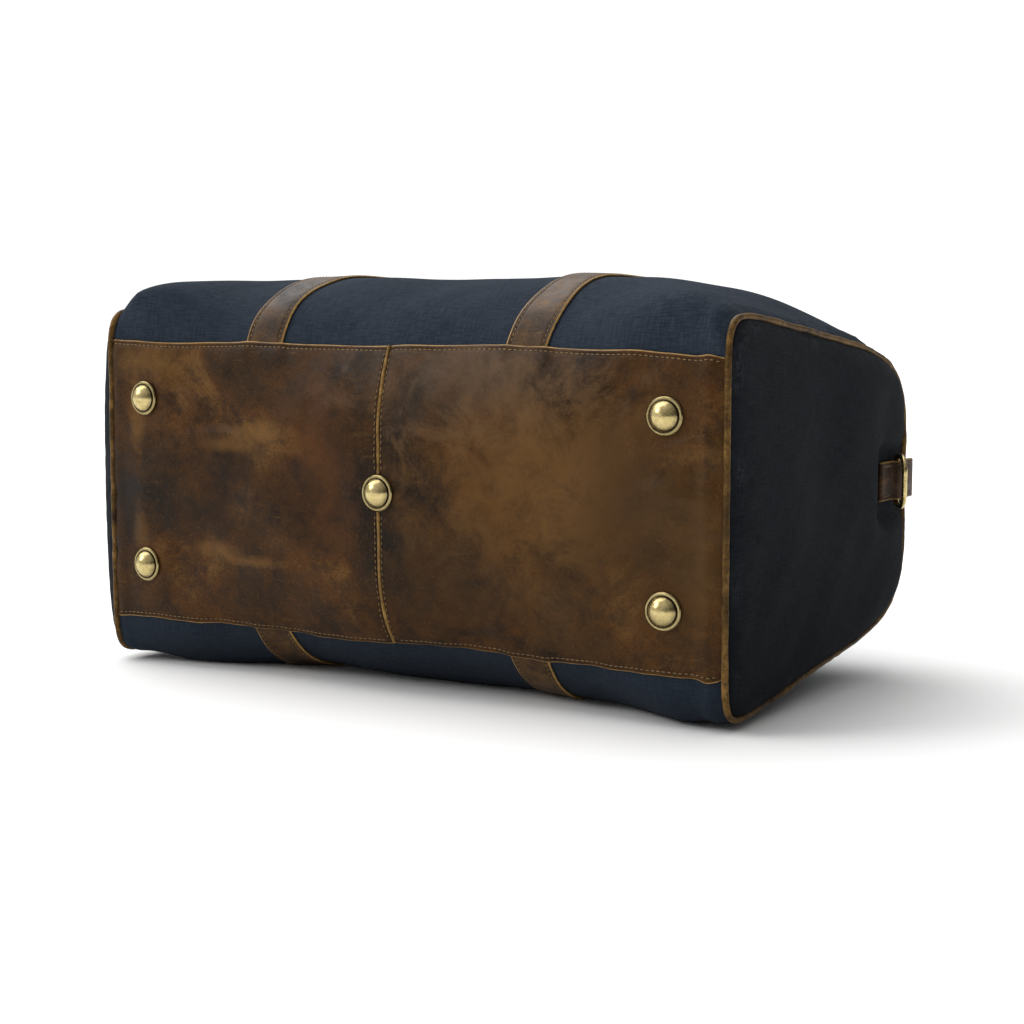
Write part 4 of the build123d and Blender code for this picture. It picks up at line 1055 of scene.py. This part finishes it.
def dee_profile():
    """The tab's side view: away from the end panel's face, and along +Y."""
    over = [(4.2 + 4.3 * cos(t), TAB_Y + 5.6 * sin(t)) for t in np.linspace(radians(-72), radians(72), 17)]
    return [(0.05, 137.0), (2.7, 137.2), (3.0, 139.0), (3.05, 155.5)] + over + [
        (6.2, 170.0), (6.15, 191.5), (5.7, 193.0), (3.9, 193.0), (3.35, 192.0), (3.3, 183.5), (0.05, 182.0)]


for hand, turn in HANDS:
    profile = np.array(dee_profile())
    profile[:, 0] = turn * (BODY_HALF + END_PROUD + profile[:, 0])
    levels = np.array([-14.5, -14.2, -13.4, -11.6, -11.0, -10.4, 0, 10.4, 11.0, 11.6, 13.4, 14.2, 14.5])
    inset = np.array([0.5, 0.15, 0, 0, 0.12, 0, 0, 0, 0.12, 0, 0, 0.15, 0.5])
    inward = [-turn * (np.abs(profile[:, 0]) > BODY_HALF + 3.5), -np.sign(profile[:, 1] - TAB_Y)]
    ring = np.zeros((len(levels), len(profile), 3))
    ring[..., :2] = profile + inset[:, None, None] * np.stack(inward, axis=1)
    ring[..., 2] = TAB_Z + levels[:, None]
    shape = Mesh()
    shape.grid(ring, wrap_columns=True, edge=np.broadcast_to((inset > 0.14)[:, None] * 0.9, ring.shape[:2]))
    shape.cap(*ring.shape[:2])
    piece(f"dee_ring_tab_{hand}", shape, tab_leather, "bag", "tab_leather", [f"dee_tab_{hand}"])
    shape = Mesh()
    for level in (TAB_Z - 11.0, TAB_Z + 11.0):
        for out, first, last in ((8.75, 172.5, 190), (5.6, 139.5, 154)):
            line = np.array([[turn * (BODY_HALF + out), y, level] for y in np.linspace(first, last, 20)])
            stitch_row(shape, line, np.broadcast_to([turn, 0, 0], line.shape), pitch=3.4, length=2.3)
    piece(f"dee_tab_stitching_{hand}", shape, SEWN, "bag", "tab_leather")

# ---- Top gussets, zip and lining ----


def gusset_part(sign, span, name, nodes):
    """One stretch of a top gusset, pressed in along its edges."""
    x = stations(span, 4.0)
    levels = (SLOT_Z + 0.1, MOUTH_Z - 0.4)
    first, last = (angle_where(x, Z, MID_Z + sign * level, *TOP_SIDE[sign]) for level in levels)
    angles, arcs = rows_between(x, first, last, 3.0, (0.0, 0.5, 1.2, 2.2, 3.2))
    from_edge, wide_x = edge_gap(arcs), spread(x, angles)
    place = outline(wide_x, angles)
    inner = smooth(2, 12, from_edge) * smooth(0, 25, MOUTH_X - np.abs(wide_x))
    grow = 0.7 * wander(place, 101 + sign, 60) * inner - 0.5 * bell(from_edge, 0.8)
    grow = grow - 0.35 * bell(from_edge - 3.2, 0.9)
    shape = Mesh()
    shape.grid(outline(wide_x, angles, grow), outward=INSIDE, cloth=on_cloth(wide_x, arcs + 7), wear=0.0)
    return piece(name, shape, canvas, None, "gusset_canvas", nodes, thick=2.4)


def tooth(shape, x, sign):
    """One zip tooth: a shouldered block that grips the tape and ends in a narrower head."""
    corners = ((-1, -0.6), (-0.6, -1), (0.6, -1), (1, -0.6), (1, 0.6), (0.6, 1), (-0.6, 1), (-1, 0.6))
    ring = []
    for z, half_x, half_y in ((0.55, 0.45, 0.8), (1.4, 0.525, 1.1), (2.0, 0.625, 1.25), (3.6, 0.625, 1.25)):
        for dx, dy in corners:
            ring.append((x + dx * half_x, CHAIN_Y + dy * half_y, MID_Z + sign * z))
    faces = grid_faces(4, 8, wrap_columns=True).tolist() + [list(range(8)), list(range(24, 32))[::-1]]
    if sign > 0:
        faces = [face[::-1] for face in faces]
    shape.add(ring, faces)


def tape_part(sign, span, out_z):
    """A stretch of woven tape beside the chain, with its cord along the teeth."""
    x = stations(span, 6.0)
    levels = np.array([3.2, 3.7, 4.4, 5.2, 6.2, 9.0, 12.0, 15.0, out_z])
    height = np.array([0.4, 0.9, 0.95, 0.5, 0.4, 0.4, 0.4, 0.4, 0.4])
    shape = Mesh()
    flat_tape(shape, x, height - 0.1 * np.abs(np.sin(x * 0.8))[:, None], sign, levels)
    return shape


def flat_tape(shape, x, height, sign, levels):
    """A grid of tape over the stations x, at levels from the chain's middle."""
    grid = np.stack(np.broadcast_arrays(x[:, None], CHAIN_Y + height, MID_Z + sign * levels), axis=-1)
    shape.grid(grid, outward=INSIDE, cloth=on_cloth(grid[..., 0], grid[..., Z]))


TOOTH_PITCH, TOOTH_SHIFT = 2.6, 0.65     # the two sides' teeth stand between each other
for side, sign in SIDES:
    body = f"gusset_{side}"
    end_x = MOUTH_X - 0.4
    spans = (("middle", (-JOIN_X, JOIN_X)), ("left", (-end_x, -JOIN_X)), ("right", (JOIN_X, end_x)))
    for part, span in spans:
        whole = part == "middle"
        nodes = [[f"{node}_{side}"] if whole else [] for node in ("top_gusset", "zip_tape", "zip_chain")]
        made = [gusset_part(sign, span, f"gusset_cloth_{side}_{part}", nodes[0])]
        shape = tape_part(sign, span, 18.0)
        name = f"zip_tape_{side}_{part}_cloth"
        made.append(piece(name, shape, tape_cloth, None, "zip_tape", nodes[1], thick=0.6))
        shape = Mesh()
        first = int(np.ceil((span[0] + 0.7) / TOOTH_PITCH))
        for k in range(first, int((span[1] - 0.7) / TOOTH_PITCH) + 1):
            tooth(shape, k * TOOTH_PITCH + sign * TOOTH_SHIFT, sign)
        name = f"zip_teeth_{side}_{part}"
        made.append(piece(name, shape, brass, None, "antique_brass", nodes[2], flat=True))
        for one in made:
            if whole:
                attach(one, body)
            else:
                start, end = ((v * (-MM if part == "left" else MM), 0, 0) for v in (MOUTH_X - 2, JOIN_X))
                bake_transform(one)

for hand, turn in HANDS:
    shape = Mesh()
    for sign in (-1, 1):
        for k in range(1, 7):
            x = turn * (MOUTH_X + 0.6 + k * TOOTH_PITCH) + sign * TOOTH_SHIFT
            if abs(x) < SLOT_X - 1.5:
                tooth(shape, x, sign)
    corners = [(a, b, c) for a in (-1, 1) for b in (-1, 1) for c in (-1, 1)]
    stop = [(turn * (SLOT_X - 1.2 + a * 1.1), CHAIN_Y + b * 1.3, MID_Z + c * 3.4) for a, b, c in corners]
    shape.add(stop, [(0, 1, 3, 2), (4, 6, 7, 5), (0, 4, 5, 1), (2, 3, 7, 6), (0, 2, 6, 4), (1, 5, 7, 3)])
    piece(f"zip_end_teeth_{hand}", shape, brass, "bag", "antique_brass", [f"zip_chain_end_{hand}"], flat=True)
    shape = Mesh()
    x = turn * stations([MOUTH_X + 0.4, 255.0], 4.0)
    for sign in (-1, 1):
        flat_tape(shape, x, 0.4, sign, np.array([3.6, 4.4, 6.2, 10.0, 14.8]))
    piece(f"zip_end_tape_{hand}", shape, tape_cloth, "bag", "zip_tape", [f"zip_tape_end_{hand}"], thick=0.7)
    x = turn * stations([SLOT_X - 0.3, SLOT_X + 0.1, SLOT_X + 0.7, SLOT_X + 2.0, 257.0, 260.3], 2.4)
    first, last = (angle_where(x, Z, MID_Z + level, *TOP_SIDE[1]) for level in (-16.5, 16.5))
    angles, arcs = rows_between(x, first, last, 2.4, (0.0, 0.4, 1.0, 2.0, 2.8, 3.6))
    from_edge = np.minimum(edge_gap(arcs), (np.abs(x) - SLOT_X + 0.3)[:, None])
    grow = LEATHER - 0.6 * bell(from_edge, 0.7) - 0.35 * bell(from_edge - 2.8, 0.8)
    shape = Mesh()
    points = skin(spread(x, angles), angles, grow)
    shape.grid(points, outward=INSIDE, edge=cut_edge(from_edge, 0.75, 1.25))
    replaced = [f"zip_end_tab_{hand}"]
    piece(f"zip_end_patch_{hand}", shape, tab_leather, "bag", "tab_leather", replaced, thick=1.8)

x = stations([-258.2, -255, -SLOT_X, SLOT_X, 255, 258.2], 5.0)
low = angle_where(x, Z, MID_Z - MOUTH_Z - 1.5, *TOP_SIDE[-1]) - tau
high = angle_where(x, Z, MID_Z + MOUTH_Z + 1.5, *TOP_SIDE[1])
shape = Mesh()
around, arcs = rows_between(x, high, low + tau, 5.0)
wide_x = spread(x, around)
place = outline(wide_x, around)
slack = 0.9 * np.abs(wander(place, 111, 45)) * smooth(0, 20, edge_gap(arcs))
points = outline(wide_x, around, -3.9 + np.minimum(relief(place), 0) - slack)
shape.grid(held_up(points, LINING_FLOOR), outward=INSIDE, cloth=on_cloth(wide_x, arcs))
over, arcs = rows_between(x, low, high, 6.0)
wide_x = spread(x, over)
points = held_up(outline(wide_x, over, -4.2), LINING_FLOOR)
shape.grid(points, outward=INSIDE, keep=past_slots, cloth=on_cloth(wide_x, arcs))
for turn in (-1, 1):
    rim = outline(BODY_HALF, ring_of(128), -4.6)
    points = END_MIDDLE + (rim - END_MIDDLE) * np.linspace(0.03, 1.0, 26)[:, None, None]
    points[..., 0] = turn * (BODY_HALF - 1.6 - 0.8 * np.abs(wander(points, 113, 50)))
    held_up(points, LINING_FLOOR)
    shape.grid(points, wrap_columns=True, outward=INSIDE, cloth=points[..., [1, 2, 0]])
piece("lining_cloth", shape, lining_cloth, "bag", "lining_cotton", ["lining"], thick=0.7)

# ---- Handles ----

for side, sign in SIDES:
    away = unit(np.array([0, *(HANDLE_BAR[side] - HINGE[side])]))
    up_vector = np.array([0, -away[2], away[1]])
    start = np.array([0, *HANDLE_BAR[side]])

    def at(u, v, w=0.0):
        return start + np.array([1.0, 0, 0]) * u + away * v + up_vector * w

    shape = Mesh()
    bend = HANDLE_TAB + HANDLE_STRAIGHT
    legs = np.linspace(2.5, bend, 30)
    runs = [(-STRAP_X, v) for v in legs]
    runs += [(STRAP_X * cos(t), bend + STRAP_X * sin(t)) for t in np.linspace(pi, 0, 90)[1:-1]]
    runs = np.array(runs + [(STRAP_X, v) for v in legs[::-1]])
    route = np.array([at(u, v) for u, v in runs])
    along = unit(np.gradient(route, axis=0))
    up = np.broadcast_to(up_vector, route.shape)
    across = np.cross(along, up)
    into = smooth(HANDLE_TAB - 8, HANDLE_TAB + 26, runs[:, 1])
    half_width = TAB_HALF * (1 - into) + GRIP_HALF * into
    half_height = 2.0 * (1 - into) + GRIP_HALF * into
    half_width = half_width * (1 + 0.012 * wander(route, 121, 24) * into)
    turn = ring_of(22)
    rim = (np.abs(np.cos(turn)) > 0.985)[None, :] * (1 - into)[:, None]
    corner = (5.0 * (1 - into) + 2.0 * into)[:, None]
    wide = (squared(np.cos(turn), corner) * half_width[:, None])[..., None]
    tall = (squared(np.sin(turn), corner) * half_height[:, None])[..., None]
    ring = route[:, None] + across[:, None] * wide + up[:, None] * tall
    shape.grid(ring, wrap_columns=True, edge=rim)
    shape.cap(*ring.shape[:2])
    for hand in (-1, 1):
        profile_x = (-16.3, -15.9, -15.2, 15.2, 15.9, 16.3, 15.9, 15.2, -15.2, -15.9)
        profile_r = np.array([3.2, 3.75, 4.05, 4.05, 3.75, 3.2, 2.45, 2.15, 2.15, 2.45])
        sections = [(hand * STRAP_X + along_bar, radius) for along_bar, radius in zip(profile_x, profile_r)]
        loop = [[at(u, radius * cos(t), radius * sin(t)) for t in ring_of(36)] for u, radius in sections]
        rim = np.broadcast_to((profile_r == 3.2)[:, None] * 0.8, (len(sections), 36))
        shape.grid(np.array(loop), wrap_rows=True, wrap_columns=True, edge=rim)
    piece(f"rolled_handle_{side}", shape, handle_leather, f"handle_{side}", "handle_leather",
          [f"handle_grip_{side}", f"handle_tab_{side}_left", f"handle_tab_{side}_right"])
    shape = Mesh()
    grip = into > 0.6
    inner = route + across * (half_width * 0.97)[:, None] * 0.86 + up * (half_height * 0.5)[:, None]
    facing = across * 0.86 + up * 0.5
    stitch_row(shape, inner[grip], facing[grip], pitch=4.4, radius=0.45)
    for hand in (-1, 1):
        for edge_side in (-1, 1):
            line = np.array([at(hand * STRAP_X + edge_side * 13.0, v, 2.1) for v in np.linspace(7, 32, 20)])
            stitch_row(shape, line, np.broadcast_to(up_vector, line.shape), pitch=3.8)
    piece(f"handle_stitching_{side}", shape, SEWN, f"handle_{side}", "handle_leather")

# ---- Leather puller on the zip ----

low, high = (np.array(v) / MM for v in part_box("zip_puller_leather"))
middle, half = (low + high) / 2, (high - low) / 2
turn = ring_of(64)
reach_y, reach_z = squared(np.cos(turn), 6.0) * half[Y], squared(np.sin(turn), 3.2) * half[Z]
waist = 1 - 0.16 * bell(reach_y + half[Y] * 0.55, 9)
height = np.array([-1.0, -0.8, -0.5, 0.5, 0.8, 1.0])[:, None]
pull = np.array([0.45, 0.12, 0.0, 0.0, 0.12, 0.45])[:, None]
parts = (height * half[0], reach_y * (1 - pull / half[Y]), reach_z * waist * (1 - pull / half[Z]))
ring = middle + np.stack(np.broadcast_arrays(*parts), axis=-1)
shape = Mesh()
shape.grid(ring, wrap_columns=True, edge=0.6)
shape.cap(*ring.shape[:2])
piece("puller_strip", shape, tab_leather, "pull", "tab_leather", ["zip_puller_leather"])

# ---- CAD parts that stay, with their own finish ----

# share of FOOT_REACH from the foot's middle, and how brown its patina is there
foot_rings = ((0.0, 0.0), (0.48, 0.03), (0.60, 0.45), (0.622, 0.98))
foot_rings += ((0.668, 0.98), (0.69, 0.60), (0.73, 0.30), (0.78, 0.62))
for number, foot in enumerate(FEET, start=1):
    node = frame["nodes"][f"foot_{number}"]
    paint = brass_paint(f"foot_brass_{number}", foot, (1.0, 0.0 if number == 1 else 0.12, 1.0), foot_rings)
    node.material_slots[0].material = paint
kept = ["foot_washers", "zip_slider", "zip_pull"]
kept += [f"dee_ring_{hand}" for hand, _ in HANDS]
kept += [f"handle_rivets_{side}" for side, _ in SIDES]
kept += [f"ring_{side}_{hand}" for side, _ in SIDES for hand, _ in HANDS]
for name in kept:
    frame["nodes"][name].material_slots[0].material = brass
frame["nodes"]["base_board"].material_slots[0].material = board_cloth

low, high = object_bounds()
